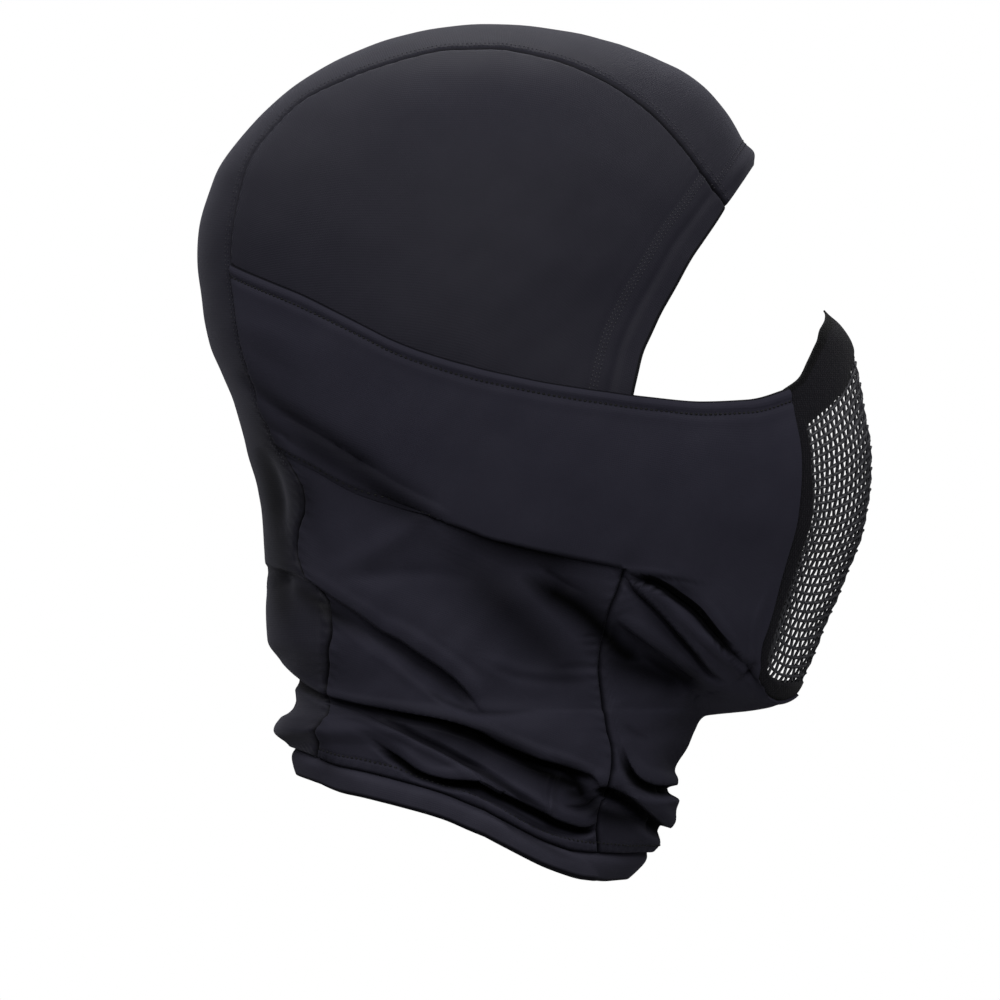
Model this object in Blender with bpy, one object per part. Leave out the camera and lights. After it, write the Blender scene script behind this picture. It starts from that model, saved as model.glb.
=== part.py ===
"""A close hood in stretch knit with a wire mesh mask, in its worn form, in metres.

The face looks to -Y and the wearer's right side is -X. The origin is the top of the head, on the inner
face of the crown. Places on the hood are read in the side view as shares: reach is 0 at the back and 1 at
the front of the whole depth, and drop is 0 at the top and 1 at the bottom of the whole height.
"""

import math

import bmesh
import bpy
import numpy as np

for item in list(bpy.data.objects):
    bpy.data.objects.remove(item, do_unlink=True)

# Sizes of the whole hood
HOOD_HEIGHT = 0.2924
HOOD_DEPTH = 0.2298
HALF_BREADTH = 0.078

# Cloth, hems, tape and mesh
CLOTH = 0.0013
HEM_TURN = 0.0008
SEAM_GAP = 0.0005
BAND_CLEARANCE = 0.0005
BAND_ROLL = 0.0010
BAND_FLARE = 0.0009
NECK_TUCK = 0.0035
COLLAR_HEM_DEPTH = 0.0102
COLLAR_HEM_WALL = 0.0024
TAPE = 0.0012
SLOT_CLEARANCE = 0.0006
MESH_WALL = 0.0010
MESH_BAR = 0.0016

# Where the tape's slot ends and the mesh begins, as shares of the tape's width from the rim
SLOT_DEPTH = 0.50
MESH_TUCK = 0.66

# How far the jaw line climbs from the chin to the side
JAW_CLIMB = 0.034

# Level sections from the top down, lengths as shares of the depth or the half breadth:
# drop, back reach, front reach, half width, reach of the widest place, front and back squareness
SECTIONS = (
    (0.000, 0.430, 0.430, 0.000, 0.430, 2.00, 2.00),
    (0.007, 0.340, 0.537, 0.230, 0.430, 2.00, 2.00),
    (0.028, 0.247, 0.641, 0.455, 0.430, 2.00, 2.00),
    (0.065, 0.157, 0.738, 0.660, 0.425, 2.05, 2.05),
    (0.112, 0.087, 0.791, 0.800, 0.420, 2.10, 2.10),
    (0.181, 0.024, 0.830, 0.910, 0.415, 2.15, 2.15),
    (0.263, 0.000, 0.851, 0.972, 0.410, 2.10, 2.15),
    (0.334, 0.009, 0.928, 0.996, 0.405, 1.80, 2.15),
    (0.373, 0.019, 0.966, 1.000, 0.405, 1.75, 2.15),
    (0.437, 0.053, 0.984, 0.990, 0.410, 1.90, 2.10),
    (0.507, 0.077, 0.997, 0.962, 0.415, 2.15, 2.05),
    (0.577, 0.096, 0.988, 0.915, 0.420, 2.20, 2.00),
    (0.647, 0.101, 0.957, 0.865, 0.425, 2.10, 2.00),
    (0.716, 0.104, 0.920, 0.825, 0.425, 2.00, 2.00),
    (0.769, 0.145, 0.892, 0.808, 0.425, 1.95, 2.00),
    (0.786, 0.147, 0.874, 0.806, 0.425, 1.95, 2.00),
    (0.795, 0.143, 0.851, 0.808, 0.425, 1.95, 2.00),
    (0.801, 0.136, 0.796, 0.812, 0.425, 2.00, 2.00),
    (0.807, 0.124, 0.752, 0.818, 0.425, 2.00, 2.00),
    (0.821, 0.115, 0.740, 0.825, 0.425, 2.00, 2.05),
    (0.838, 0.134, 0.729, 0.818, 0.425, 2.05, 2.05),
    (0.870, 0.146, 0.708, 0.810, 0.425, 2.05, 2.05),
    (0.902, 0.155, 0.711, 0.818, 0.425, 2.05, 2.05),
    (0.937, 0.162, 0.697, 0.812, 0.425, 2.05, 2.05),
    (1.020, 0.175, 0.640, 0.790, 0.425, 2.05, 2.05),
)

# Seam between the crown strip and the side, from the brow over the crown to the collar hem:
# reach, drop and the place on the middle line across from it, the signed root of its drop, front positive
CROWN_SEAM = (
    (0.783, 0.210, 0.404),
    (0.751, 0.176, 0.367),
    (0.714, 0.138, 0.322),
    (0.670, 0.102, 0.268),
    (0.596, 0.063, 0.180),
    (0.522, 0.040, 0.095),
    (0.435, 0.028, 0.000),
    (0.374, 0.029, -0.065),
    (0.300, 0.042, -0.132),
    (0.226, 0.062, -0.200),
    (0.152, 0.092, -0.275),
    (0.086, 0.147, -0.362),
)
BACK_SEAM = (
    (0.086, 0.147, -0.362),
    (0.064, 0.193, -0.430),
    (0.053, 0.240, -0.486),
    (0.052, 0.286, -0.535),
    (0.061, 0.344, -0.587),
    (0.074, 0.391, -0.625),
    (0.090, 0.437, -0.660),
    (0.117, 0.484, -0.694),
)
NAPE_SEAM = (
    (0.117, 0.484, -0.694),
    (0.138, 0.513, -0.715),
    (0.155, 0.542, -0.735),
    (0.157, 0.563, -0.750),
    (0.148, 0.588, -0.767),
    (0.146, 0.612, -0.783),
    (0.156, 0.637, -0.800),
    (0.180, 0.655, -0.812),
    (0.194, 0.674, -0.824),
    (0.197, 0.705, -0.842),
    (0.192, 0.740, -0.862),
    (0.189, 0.774, -0.880),
    (0.181, 0.809, -0.897),
    (0.175, 0.847, -0.916),
)

# Other edges and seams in the side view: reach, drop
BAND_BACK = ((0.052, 0.280), (0.061, 0.344), (0.074, 0.391), (0.090, 0.437), (0.117, 0.484))
FACE_EDGE = (
    (0.783, 0.210), (0.749, 0.251), (0.719, 0.288), (0.691, 0.327), (0.667, 0.365),
    (0.651, 0.400), (0.641, 0.434), (0.632, 0.484), (0.629, 0.553), (0.633, 0.633),
)
BAND_TOP = (
    (0.052, 0.280), (0.152, 0.315), (0.226, 0.344), (0.300, 0.373), (0.374, 0.393), (0.448, 0.408),
    (0.522, 0.420), (0.596, 0.429), (0.670, 0.437), (0.744, 0.442), (0.811, 0.440), (0.871, 0.427),
)
BAND_FOOT = (
    (0.117, 0.484), (0.152, 0.499), (0.226, 0.524), (0.300, 0.551), (0.374, 0.579), (0.448, 0.600),
    (0.522, 0.613), (0.596, 0.626), (0.633, 0.633),
)
CHIN_FOLD = ((0.633, 0.633), (0.692, 0.656), (0.759, 0.695), (0.828, 0.734))
FRONT_SEAM = (
    (0.633, 0.633), (0.617, 0.670), (0.601, 0.716), (0.596, 0.745), (0.601, 0.786), (0.609, 0.821),
    (0.617, 0.856), (0.611, 0.885), (0.600, 0.908), (0.594, 0.931), (0.596, 0.963),
)
HEM_LINE = (
    (0.175, 0.847), (0.226, 0.861), (0.300, 0.877), (0.374, 0.892), (0.448, 0.913), (0.522, 0.944),
    (0.570, 0.961), (0.596, 0.963),
)
HEM_FRONT = ((0.596, 0.963), (0.640, 0.965), (0.690, 0.964))
RIM_NOSE = ((0.935, 0.334), (0.925, 0.356), (0.919, 0.373), (0.907, 0.393), (0.893, 0.414), (0.871, 0.427))
RIM_SIDE = (
    (0.871, 0.427), (0.883, 0.472), (0.889, 0.519), (0.885, 0.565), (0.871, 0.612), (0.851, 0.670),
    (0.833, 0.716), (0.828, 0.734),
)
RIM_CHIN = ((0.828, 0.734), (0.828, 0.757), (0.839, 0.777), (0.862, 0.784), (0.900, 0.777))

# Inner edge of the tape across the mesh, matched with the three stretches of the rim
TAPE_NOSE = ((0.980, 0.381), (0.967, 0.400), (0.959, 0.420), (0.936, 0.443), (0.915, 0.457), (0.899, 0.468))
TAPE_SIDE = (
    (0.899, 0.468), (0.907, 0.519), (0.910, 0.553), (0.904, 0.588), (0.889, 0.623), (0.874, 0.658),
    (0.859, 0.693), (0.845, 0.728),
)
TAPE_CHIN = ((0.845, 0.728), (0.842, 0.747), (0.850, 0.759), (0.869, 0.765), (0.905, 0.763))

# Folds in the cloth, each a ridge or a valley along a bowed line in the side view:
# start reach, start drop, end reach, end drop, bow as a share of its length, half width, height
FOLDS = (
    (0.180, 0.655, 0.430, 0.772, 0.04, 0.022, 0.0030),
    (0.190, 0.712, 0.400, 0.800, 0.05, 0.021, -0.0026),
    (0.300, 0.785, 0.600, 0.832, 0.02, 0.024, 0.0026),
    (0.215, 0.797, 0.590, 0.874, -0.05, 0.018, -0.0042),
    (0.190, 0.822, 0.500, 0.902, -0.03, 0.018, 0.0026),
    (0.300, 0.862, 0.530, 0.928, -0.04, 0.016, -0.0020),
    (0.500, 0.620, 0.600, 0.700, 0.05, 0.034, -0.0018),
    (0.640, 0.645, 0.790, 0.730, -0.05, 0.018, -0.0030),
    (0.670, 0.670, 0.830, 0.770, -0.05, 0.018, 0.0022),
    (0.610, 0.695, 0.740, 0.780, 0.03, 0.019, -0.0024),
    (0.625, 0.800, 0.690, 0.815, 0.00, 0.022, 0.0014),
    (0.610, 0.872, 0.700, 0.887, 0.10, 0.016, -0.0024),
    (0.610, 0.900, 0.700, 0.925, 0.05, 0.016, 0.0016),
    (0.150, 0.757, 0.230, 0.786, 0.00, 0.018, -0.0014),
)

# Colours of the cloth, tape and wire, with roughness and metallic value
FINISHES = {
    "hood_fabric": ((0.050, 0.049, 0.062), 0.82, 0.0),
    "band_fabric": ((0.038, 0.037, 0.050), 0.82, 0.0),
    "neck_fabric": ((0.034, 0.033, 0.044), 0.85, 0.0),
    "binding_tape": ((0.020, 0.020, 0.026), 0.75, 0.0),
    "black_wire": ((0.012, 0.012, 0.014), 0.38, 0.7),
}

# Steps along each seam, shared by both neighbours
CROWN_STEPS = 14
BACK_STEPS = 8
NECK_STEPS = 16
FOLD_STEPS = 5
CHIN_STEPS = 6
NOSE_STEPS = 8
BAND_ROWS = (0.0, 0.035, 0.14, 0.27, 0.41, 0.55, 0.70, 0.85, 1.0)
HALF_STRIP = (0.0, 0.25, 0.5, 0.75, 1.0)
MESH_GAPS_ACROSS = 10
MESH_GAPS_DOWN = 11


def even(steps):
    return np.linspace(0.0, 1.0, steps + 1)


def smooth(knots, values, places):
    """A smooth curve through table values that never swings past them."""
    knots = np.asarray(knots, float)
    values = np.asarray(values, float)
    gaps = np.diff(knots)
    slopes = np.diff(values) / gaps
    bend = np.zeros_like(values)
    for i in range(1, len(knots) - 1):
        if slopes[i - 1] * slopes[i] > 0:
            before = gaps[i - 1] + 2 * gaps[i]
            after = 2 * gaps[i - 1] + gaps[i]
            bend[i] = (before + after) / (before / slopes[i] + after / slopes[i - 1])
    bend[0] = slopes[0]
    bend[-1] = slopes[-1]
    places = np.clip(places, knots[0], knots[-1])
    i = np.clip(np.searchsorted(knots, places) - 1, 0, len(gaps) - 1)
    t = (places - knots[i]) / gaps[i]
    start = (2 * t**3 - 3 * t**2 + 1) * values[i] + (t**3 - 2 * t**2 + t) * gaps[i] * bend[i]
    end = (3 * t**2 - 2 * t**3) * values[i + 1] + (t**3 - t**2) * gaps[i] * bend[i + 1]
    return start + end


ROOTS = np.sqrt([row[0] for row in SECTIONS])


def section(column, drop):
    return smooth(ROOTS, [row[column] for row in SECTIONS], np.sqrt(np.clip(drop, 0.0, None)))


def reach_at(angle, drop):
    """Reach of a place at an angle round the hood, 0 at the front and pi at the back."""
    cosine = np.cos(angle)
    low = np.clip((drop - 0.52) / 0.14, 0.0, 1.0)
    jaw = JAW_CLIMB / HOOD_HEIGHT * np.sin(angle) ** 2 * low * low * (3 - 2 * low)
    widest = section(4, drop)
    front = section(2, drop + jaw) - widest
    back = widest - section(1, drop)
    ahead = front * np.abs(cosine) ** (2 / section(5, drop))
    behind = back * np.abs(cosine) ** (2 / section(6, drop))
    return widest + np.where(cosine >= 0, ahead, -behind)


def side_at(angle, drop):
    """Distance to the wearer's right at an angle, negative on the left."""
    squareness = np.where(np.cos(angle) >= 0, section(5, drop), section(6, drop))
    sine = np.sin(angle)
    return HALF_BREADTH * section(3, drop) * np.sign(sine) * np.abs(sine) ** (2 / squareness)


def angle_at(reach, drop):
    """Angle round the hood of a place given by its reach and drop, found by halving."""
    low = np.zeros_like(np.asarray(reach, float) + 0.0)
    high = low + math.pi
    for _ in range(44):
        middle = (low + high) / 2
        ahead = reach_at(middle, drop) > reach
        low = np.where(ahead, middle, low)
        high = np.where(ahead, high, middle)
    angle = (low + high) / 2
    angle = np.where(reach >= reach_at(0.0 * angle, drop), 0.0, angle)
    return np.where(reach <= reach_at(0.0 * angle + math.pi, drop), math.pi, angle)


def base(angle, drop):
    """Points of the plain form, with no folds."""
    x = -side_at(angle, drop)
    y = (SECTIONS[0][1] - reach_at(angle, drop)) * HOOD_DEPTH
    z = CLOTH - drop * HOOD_HEIGHT
    return np.stack([x, y, z + 0.0 * x], axis=-1)


def facing(points, angle, drop):
    """Outward directions of a surface given as a function of angle and drop."""
    root = np.maximum(np.sqrt(np.clip(drop, 0.0, None)), 0.035)
    turn = points(angle + 0.02, root**2) - points(angle - 0.02, root**2)
    down = points(angle, (root + 0.006) ** 2) - points(angle, (root - 0.006) ** 2)
    out = np.cross(turn, down)
    return out / np.maximum(np.linalg.norm(out, axis=-1, keepdims=True), 1e-12)


def fold_lift(angle, drop):
    """Height of the folds over the plain form."""
    across = reach_at(angle, drop) * HOOD_DEPTH
    down = drop * HOOD_HEIGHT
    lift = 0.0 * across
    for x0, d0, x1, d1, bow, half, height in FOLDS:
        start = np.array([x0 * HOOD_DEPTH, d0 * HOOD_HEIGHT])
        end = np.array([x1 * HOOD_DEPTH, d1 * HOOD_HEIGHT])
        span = end - start
        length = np.linalg.norm(span)
        along = ((across - start[0]) * span[0] + (down - start[1]) * span[1]) / length**2
        off = ((across - start[0]) * span[1] - (down - start[1]) * span[0]) / length
        off = off - bow * length * np.sin(math.pi * np.clip(along, 0.0, 1.0))
        ends = np.clip(np.minimum(along, 1 - along) / 0.22 + 0.35, 0.0, 1.0)
        ends = ends * ends * (3 - 2 * ends)
        lift = lift + height * ends * np.exp(-((off / (half * HOOD_HEIGHT)) ** 2))
    return lift


def folded(angle, drop):
    """Points of the form with its folds."""
    return base(angle, drop) + facing(base, angle, drop) * fold_lift(angle, drop)[..., None]


def places(rows, shares):
    """Angle and drop at shares of the length of a line that is given by reach and drop."""
    table = np.array(rows, float)
    angle = angle_at(table[:, 0], table[:, 1])
    steps = np.linalg.norm(np.diff(base(angle, table[:, 1]), axis=0), axis=1)
    length = np.concatenate([[0.0], np.cumsum(steps)])
    length = length / length[-1]
    shares = np.asarray(shares, float)
    columns = [smooth(length, angle, shares), smooth(length, table[:, 1], shares)]
    for column in range(2, table.shape[1]):
        columns.append(smooth(length, table[:, column], shares))
    return np.stack(columns, axis=-1)


def chain(*lines):
    """Lines end to end, each shared point once."""
    return np.concatenate([lines[0]] + [line[1:] for line in lines[1:]])


def blend(top, bottom, left, right, columns=None, rows=None):
    """A grid of places that fills four edges."""
    s = (even(len(top) - 1) if columns is None else np.asarray(columns))[None, :, None]
    t = (even(len(left) - 1) if rows is None else np.asarray(rows))[:, None, None]
    level = (1 - t) * top[None, :, :] + t * bottom[None, :, :]
    upright = (1 - s) * left[:, None, :] + s * right[:, None, :]
    corner = (1 - t) * ((1 - s) * top[0] + s * top[-1]) + t * ((1 - s) * bottom[0] + s * bottom[-1])
    return level + upright - corner


def mirrored(grid):
    """The same grid on the wearer's left."""
    return grid[:, ::-1] * np.array([-1.0, 1.0])


def material(name):
    made = bpy.data.materials.get(name)
    if made is None:
        colour, roughness, metallic = FINISHES[name]
        made = bpy.data.materials.new(name)
        made.use_nodes = True
        shader = made.node_tree.nodes["Principled BSDF"]
        shader.inputs["Base Color"].default_value = (*colour, 1.0)
        shader.inputs["Roughness"].default_value = roughness
        shader.inputs["Metallic"].default_value = metallic
        made.diffuse_color = (*colour, 1.0)
    return made


def finish(name, verts, faces, finish_name, sharp=50):
    """One closed body facing out, as an object of its own."""
    mesh = bpy.data.meshes.new(name)
    mesh.from_pydata([tuple(v) for v in verts], [], faces)
    body = bmesh.new()
    body.from_mesh(mesh)
    bmesh.ops.recalc_face_normals(body, faces=body.faces)
    if body.calc_volume(signed=True) < 0:
        bmesh.ops.reverse_faces(body, faces=body.faces)
    body.to_mesh(mesh)
    body.free()
    mesh.shade_smooth()
    mesh.set_sharp_from_angle(angle=math.radians(sharp))
    mesh.materials.append(material(finish_name))
    made = bpy.data.objects.new(name, mesh)
    bpy.context.scene.collection.objects.link(made)
    return made


def cloth(name, patches, finish_name, skip=None):
    """A sheet of patches with a wall. A patch is a grid of places, outer and inner offsets and free edges."""
    index = {}
    place = []
    outer = []
    inner = []
    shift = []
    faces = []
    for patch in patches:
        grid = patch["grid"]
        rows, columns = grid.shape[:2]
        points = folded(grid[..., 0], grid[..., 1])
        high = np.broadcast_to(patch["outer"], (rows, columns))
        low = np.broadcast_to(patch["inner"], (rows, columns))
        move = np.zeros_like(points)
        for edge, first, last in patch["free"]:
            lines = {
                "top": ((0, slice(first, last)), (1, slice(first, last))),
                "bottom": ((-1, slice(first, last)), (-2, slice(first, last))),
                "left": ((slice(first, last), 0), (slice(first, last), 1)),
                "right": ((slice(first, last), -1), (slice(first, last), -2)),
            }
            here, inside = lines[edge]
            way = points[inside] - points[here]
            way = way / np.linalg.norm(way, axis=-1, keepdims=True)
            move[here] += way * SEAM_GAP / 2
        ids = np.zeros((rows, columns), int)
        for r in range(rows):
            for c in range(columns):
                angle, drop = grid[r, c]
                turn = round(abs(angle), 6) if abs(abs(angle) - math.pi) < 1e-6 else round(angle, 6)
                key = (turn + 0.0, round(drop, 6))
                if key not in index:
                    index[key] = len(place)
                    place.append((angle, drop))
                    outer.append(high[r, c])
                    inner.append(low[r, c])
                    shift.append(np.zeros(3))
                ids[r, c] = index[key]
                shift[ids[r, c]] = shift[ids[r, c]] + move[r, c]
        for r in range(rows - 1):
            for c in range(columns - 1):
                if skip is None or not skip(r, c):
                    faces.append((ids[r, c], ids[r, c + 1], ids[r + 1, c + 1], ids[r + 1, c]))
    place = np.array(place)
    points = folded(place[:, 0], place[:, 1]) + np.array(shift)
    out = facing(folded, place[:, 0], place[:, 1])
    verts = np.concatenate([points + out * np.array(outer)[:, None], points + out * np.array(inner)[:, None]])
    count = len(place)
    sides = {}
    for face in faces:
        for a, b in zip(face, face[1:] + face[:1]):
            if (b, a) in sides:
                del sides[(b, a)]
            else:
                sides[(a, b)] = True
    solid = list(faces)
    solid += [tuple(v + count for v in reversed(face)) for face in faces]
    solid += [(b, a, a + count, b + count) for a, b in sides]
    return finish(name, verts, solid, finish_name)


def ring(name, stations, finish_name):
    """A closed loop of closed cross sections."""
    stations = np.asarray(stations)
    count, around = stations.shape[:2]
    faces = []
    for i in range(count):
        for j in range(around):
            k = (j + 1) % around
            n = (i + 1) % count
            faces.append((i * around + j, i * around + k, n * around + k, n * around + j))
    return finish(name, stations.reshape(-1, 3), faces, finish_name)


# Shared seam lines
crown = places(CROWN_SEAM, even(CROWN_STEPS))
back = places(BACK_SEAM, even(BACK_STEPS))
nape = places(NAPE_SEAM, even(NECK_STEPS))
face_edge = places(FACE_EDGE, even(BACK_STEPS))
band_foot = places(BAND_FOOT, even(CROWN_STEPS))
front_seam = places(FRONT_SEAM, even(NECK_STEPS))
hem_side = places(HEM_LINE, even(CROWN_STEPS))
hem_front = places(HEM_FRONT, even(FOLD_STEPS + CHIN_STEPS))
rim_nose = places(RIM_NOSE, even(NOSE_STEPS))
rim_side = places(RIM_SIDE, BAND_ROWS)
rim_chin = places(RIM_CHIN, even(CHIN_STEPS))


def crown_strip():
    """The middle strip from the brow over the crown and nape to the collar hem."""
    seam = chain(crown, back, nape)
    reach = reach_at(seam[:, 0], seam[:, 1])
    drop_on_line = seam[:, 2] ** 2
    edge_angle = np.where(seam[:, 2] >= 0, 0.0, math.pi)
    reach_on_line = reach_at(edge_angle, drop_on_line)
    half = []
    for share in HALF_STRIP:
        blend_share = share**2
        drop = drop_on_line + (seam[:, 1] - drop_on_line) * blend_share
        across = reach_on_line + (reach - reach_on_line) * blend_share
        angle = np.where(share == 0.0, edge_angle, angle_at(across, drop))
        angle = np.where(share == 1.0, seam[:, 0], angle)
        half.append(np.stack([angle, drop], axis=-1))
    right = np.stack(half, axis=1)
    rows = len(seam)
    hem = np.full((rows, len(HALF_STRIP)), -CLOTH)
    hem[:2] -= HEM_TURN
    free = [("right", 0, rows), ("bottom", 0, len(HALF_STRIP))]
    left_free = [("left", 0, rows), ("bottom", 0, len(HALF_STRIP))]
    patches = [
        {"grid": right, "outer": 0.0, "inner": hem, "free": free},
        {"grid": mirrored(right), "outer": 0.0, "inner": hem[:, ::-1], "free": left_free},
    ]
    cloth("crown_strip", patches, "hood_fabric")
    return right[-1]


def tucked(line, distance):
    """A line raised by a distance, for an edge that lies under its neighbour."""
    raised = line.copy()
    raised[:, 1] -= distance / HOOD_HEIGHT
    return raised


def side_panel(name, flip):
    """From the strip's seam to the face opening, and on under the band to its lower seam."""
    foot = tucked(band_foot[:, :2], NECK_TUCK)
    foot[0] = back[-1, :2]
    edge = face_edge[:, :2].copy()
    edge[-1] = foot[-1]
    grid = blend(crown[::-1, :2], foot, back[:, :2], edge)
    hem = np.full(grid.shape[:2], -CLOTH)
    hem[:, -2:] -= HEM_TURN
    rows, columns = grid.shape[:2]
    free = [("top", 0, columns), ("left", 0, rows), ("bottom", 0, columns)]
    if flip:
        grid = mirrored(grid)
        hem = hem[:, ::-1]
        free[1] = ("right", 0, rows)
    cloth(name, [{"grid": grid, "outer": 0.0, "inner": hem, "free": free}], "hood_fabric")


def neck_panel(name, flip):
    """The side of the neck, from under the band down to the collar hem."""
    top = tucked(band_foot[:, :2], NECK_TUCK)
    top[0] = nape[0, :2]
    seam = front_seam[:, :2].copy()
    grid = blend(top, hem_side[:, :2], nape[:, :2], np.vstack([top[-1:], seam[1:]]))
    rows, columns = grid.shape[:2]
    free = [("top", 0, columns), ("left", 0, rows), ("right", 0, rows), ("bottom", 0, columns)]
    if flip:
        grid = mirrored(grid)
    cloth(name, [{"grid": grid, "outer": 0.0, "inner": -CLOTH, "free": free}], "neck_fabric")


def face_panel():
    """Both cheek bands, the chin and the front of the neck, in one piece."""
    top = places(BAND_TOP, even(CROWN_STEPS + FOLD_STEPS))[:, :2]
    fold = places(CHIN_FOLD, even(FOLD_STEPS))[:, :2]
    cheek = blend(top, chain(band_foot[:, :2], fold), places(BAND_BACK, BAND_ROWS)[:, :2], rim_side[:, :2],
                  rows=BAND_ROWS)
    chin_top = chain(fold, rim_chin[:, :2])
    middle = middle_line(rim_chin[-1, 1], hem_front[-1, 1], NECK_STEPS)
    chin = blend(chin_top, hem_front[:, :2], front_seam[:, :2], middle)
    rows, columns = cheek.shape[:2]
    band_inner = np.full((rows, columns), BAND_CLEARANCE)
    band_outer = np.full((rows, columns), BAND_CLEARANCE + CLOTH)
    band_outer[:2] += BAND_ROLL
    band_inner[-1] += BAND_FLARE
    band_outer[-1] += BAND_FLARE
    chin_rows, chin_columns = chin.shape[:2]
    settle = np.clip(1 - np.arange(chin_rows) / 3.0, 0.0, 1.0)[:, None]
    chin_inner = -CLOTH + (BAND_CLEARANCE + CLOTH) * settle + np.zeros((1, chin_columns))
    chin_inner[:, FOLD_STEPS:] = -CLOTH
    chin_outer = chin_inner + CLOTH
    chin_inner[0, :FOLD_STEPS + 1] = BAND_CLEARANCE + BAND_FLARE
    chin_outer[0, :FOLD_STEPS + 1] = BAND_CLEARANCE + BAND_FLARE + CLOTH
    cheek_free = [("left", 0, rows), ("right", 0, rows), ("bottom", 0, CROWN_STEPS + 1)]
    chin_free = [("left", 0, chin_rows), ("bottom", 0, chin_columns), ("top", FOLD_STEPS, chin_columns)]
    cheek_other = [("left", 0, rows), ("right", 0, rows), ("bottom", FOLD_STEPS, columns)]
    chin_other = [("right", 0, chin_rows), ("bottom", 0, chin_columns), ("top", 0, CHIN_STEPS + 1)]
    patches = [
        {"grid": cheek, "outer": band_outer, "inner": band_inner, "free": cheek_free},
        {"grid": chin, "outer": chin_outer, "inner": chin_inner, "free": chin_free},
        {"grid": mirrored(cheek), "outer": band_outer[:, ::-1], "inner": band_inner[:, ::-1],
         "free": cheek_other},
        {"grid": mirrored(chin), "outer": chin_outer[:, ::-1], "inner": chin_inner[:, ::-1],
         "free": chin_other},
    ]
    cloth("face_panel", patches, "band_fabric")


def middle_line(first, last, steps):
    """Places down the front middle line, evenly spaced along its length."""
    drop = np.linspace(first, last, 400)
    angle = 0.0 * drop
    length = np.cumsum(np.concatenate([[0.0], np.linalg.norm(np.diff(base(angle, drop), axis=0), axis=1)]))
    where = np.interp(np.linspace(0.0, length[-1], steps + 1), length, drop)
    return np.stack([0.0 * where, where], axis=-1)


def neck_hem(strip_end):
    """The turned double hem that closes the bottom of the neck, one ring."""
    right = chain(strip_end, hem_side[:, :2], hem_front[:, :2])
    left = mirrored(right[None])[0]
    line = np.concatenate([right, left[1:-1]])
    foot = line.copy()
    foot[:, 1] += COLLAR_HEM_DEPTH / HOOD_HEIGHT
    half = (line + foot) / 2
    top = folded(line[:, 0], line[:, 1])
    middle = folded(half[:, 0], half[:, 1])
    low = folded(foot[:, 0], foot[:, 1])
    top_out = facing(folded, line[:, 0], line[:, 1])
    low_out = facing(folded, foot[:, 0], foot[:, 1])
    down = low - top
    down = down / np.linalg.norm(down, axis=1, keepdims=True)
    top = top + down * SEAM_GAP / 2
    proud = (COLLAR_HEM_WALL - CLOTH) / 2
    bulge = proud + HEM_TURN / 2
    stations = [
        top + top_out * proud,
        middle + (top_out + low_out) / 2 * bulge,
        low + low_out * proud,
        low + low_out * (-CLOTH / 2) + down * COLLAR_HEM_WALL / 3,
        low - low_out * (CLOTH + proud),
        middle - (top_out + low_out) / 2 * (CLOTH + proud),
        top - top_out * (CLOTH + proud),
    ]
    ring("neck_hem", np.stack(stations, axis=1), "neck_fabric")


def rim_lines():
    """The rim of the mask and the tape's inner edge, matched, from the nose to the chin."""
    rim = chain(rim_nose[:, :2], rim_side[:, :2], rim_chin[:, :2])
    inner = chain(
        places(TAPE_NOSE, even(NOSE_STEPS)),
        places(TAPE_SIDE, BAND_ROWS),
        places(TAPE_CHIN, even(CHIN_STEPS)),
    )
    return rim, inner


def mask_binding():
    """The tape folded over the rim of the mesh, a slot that holds the mesh's edge."""
    rim, inner = rim_lines()
    rim = np.concatenate([rim, mirrored(rim[None])[0][1:-1]])
    inner = np.concatenate([inner, mirrored(inner[None])[0][1:-1]])
    slot = rim + (inner - rim) * SLOT_DEPTH
    edge = folded(rim[:, 0], rim[:, 1])
    cover = folded(inner[:, 0], inner[:, 1])
    inward = cover - edge
    inward = inward / np.linalg.norm(inward, axis=1, keepdims=True)
    edge = edge + inward * SEAM_GAP / 2
    deep = folded(slot[:, 0], slot[:, 1])
    edge_out = facing(folded, rim[:, 0], rim[:, 1])
    cover_out = facing(folded, inner[:, 0], inner[:, 1])
    deep_out = facing(folded, slot[:, 0], slot[:, 1])
    above = SLOT_CLEARANCE
    below = MESH_WALL + SLOT_CLEARANCE
    stations = [
        edge + edge_out * (above + TAPE * 0.6),
        cover + cover_out * (above + TAPE),
        cover + cover_out * above,
        deep + deep_out * above,
        deep - deep_out * below,
        cover - cover_out * below,
        cover - cover_out * (below + TAPE),
        edge - edge_out * (below + TAPE * 0.6),
    ]
    ring("mask_binding", np.stack(stations, axis=1), "binding_tape")


def bar_lines(gaps, length):
    """Shares of a length at both sides of every bar, from one frame bar to the other."""
    bar = MESH_BAR / length
    gap = (1 - bar * (gaps + 1)) / gaps
    widths = [bar if i % 2 == 0 else gap for i in range(2 * gaps + 1)]
    return np.concatenate([[0.0], np.cumsum(widths)])


def mask_mesh():
    """The wire mesh shell, cut through in rows that follow its shape."""
    rim, inner = rim_lines()
    edge = rim + (inner - rim) * MESH_TUCK
    nose = edge[: NOSE_STEPS + 1]
    side = edge[NOSE_STEPS: NOSE_STEPS + len(BAND_ROWS)]
    chin = edge[NOSE_STEPS + len(BAND_ROWS) - 1:]
    top = np.concatenate([nose[::-1], mirrored(nose[None])[0][::-1][1:]])
    bottom = np.concatenate([chin, mirrored(chin[None])[0][1:]])
    columns = bar_lines(MESH_GAPS_ACROSS, 0.120)
    rows = bar_lines(MESH_GAPS_DOWN, 0.100)
    grid = blend(
        resample(top, columns),
        resample(bottom, columns),
        resample(side, rows),
        resample(side, rows) * np.array([-1.0, 1.0]),
        columns,
        rows,
    )
    patch = {"grid": grid, "outer": 0.0, "inner": -MESH_WALL, "free": []}
    cloth("mask_mesh", [patch], "black_wire", skip=lambda r, c: r % 2 == 1 and c % 2 == 1)


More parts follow.
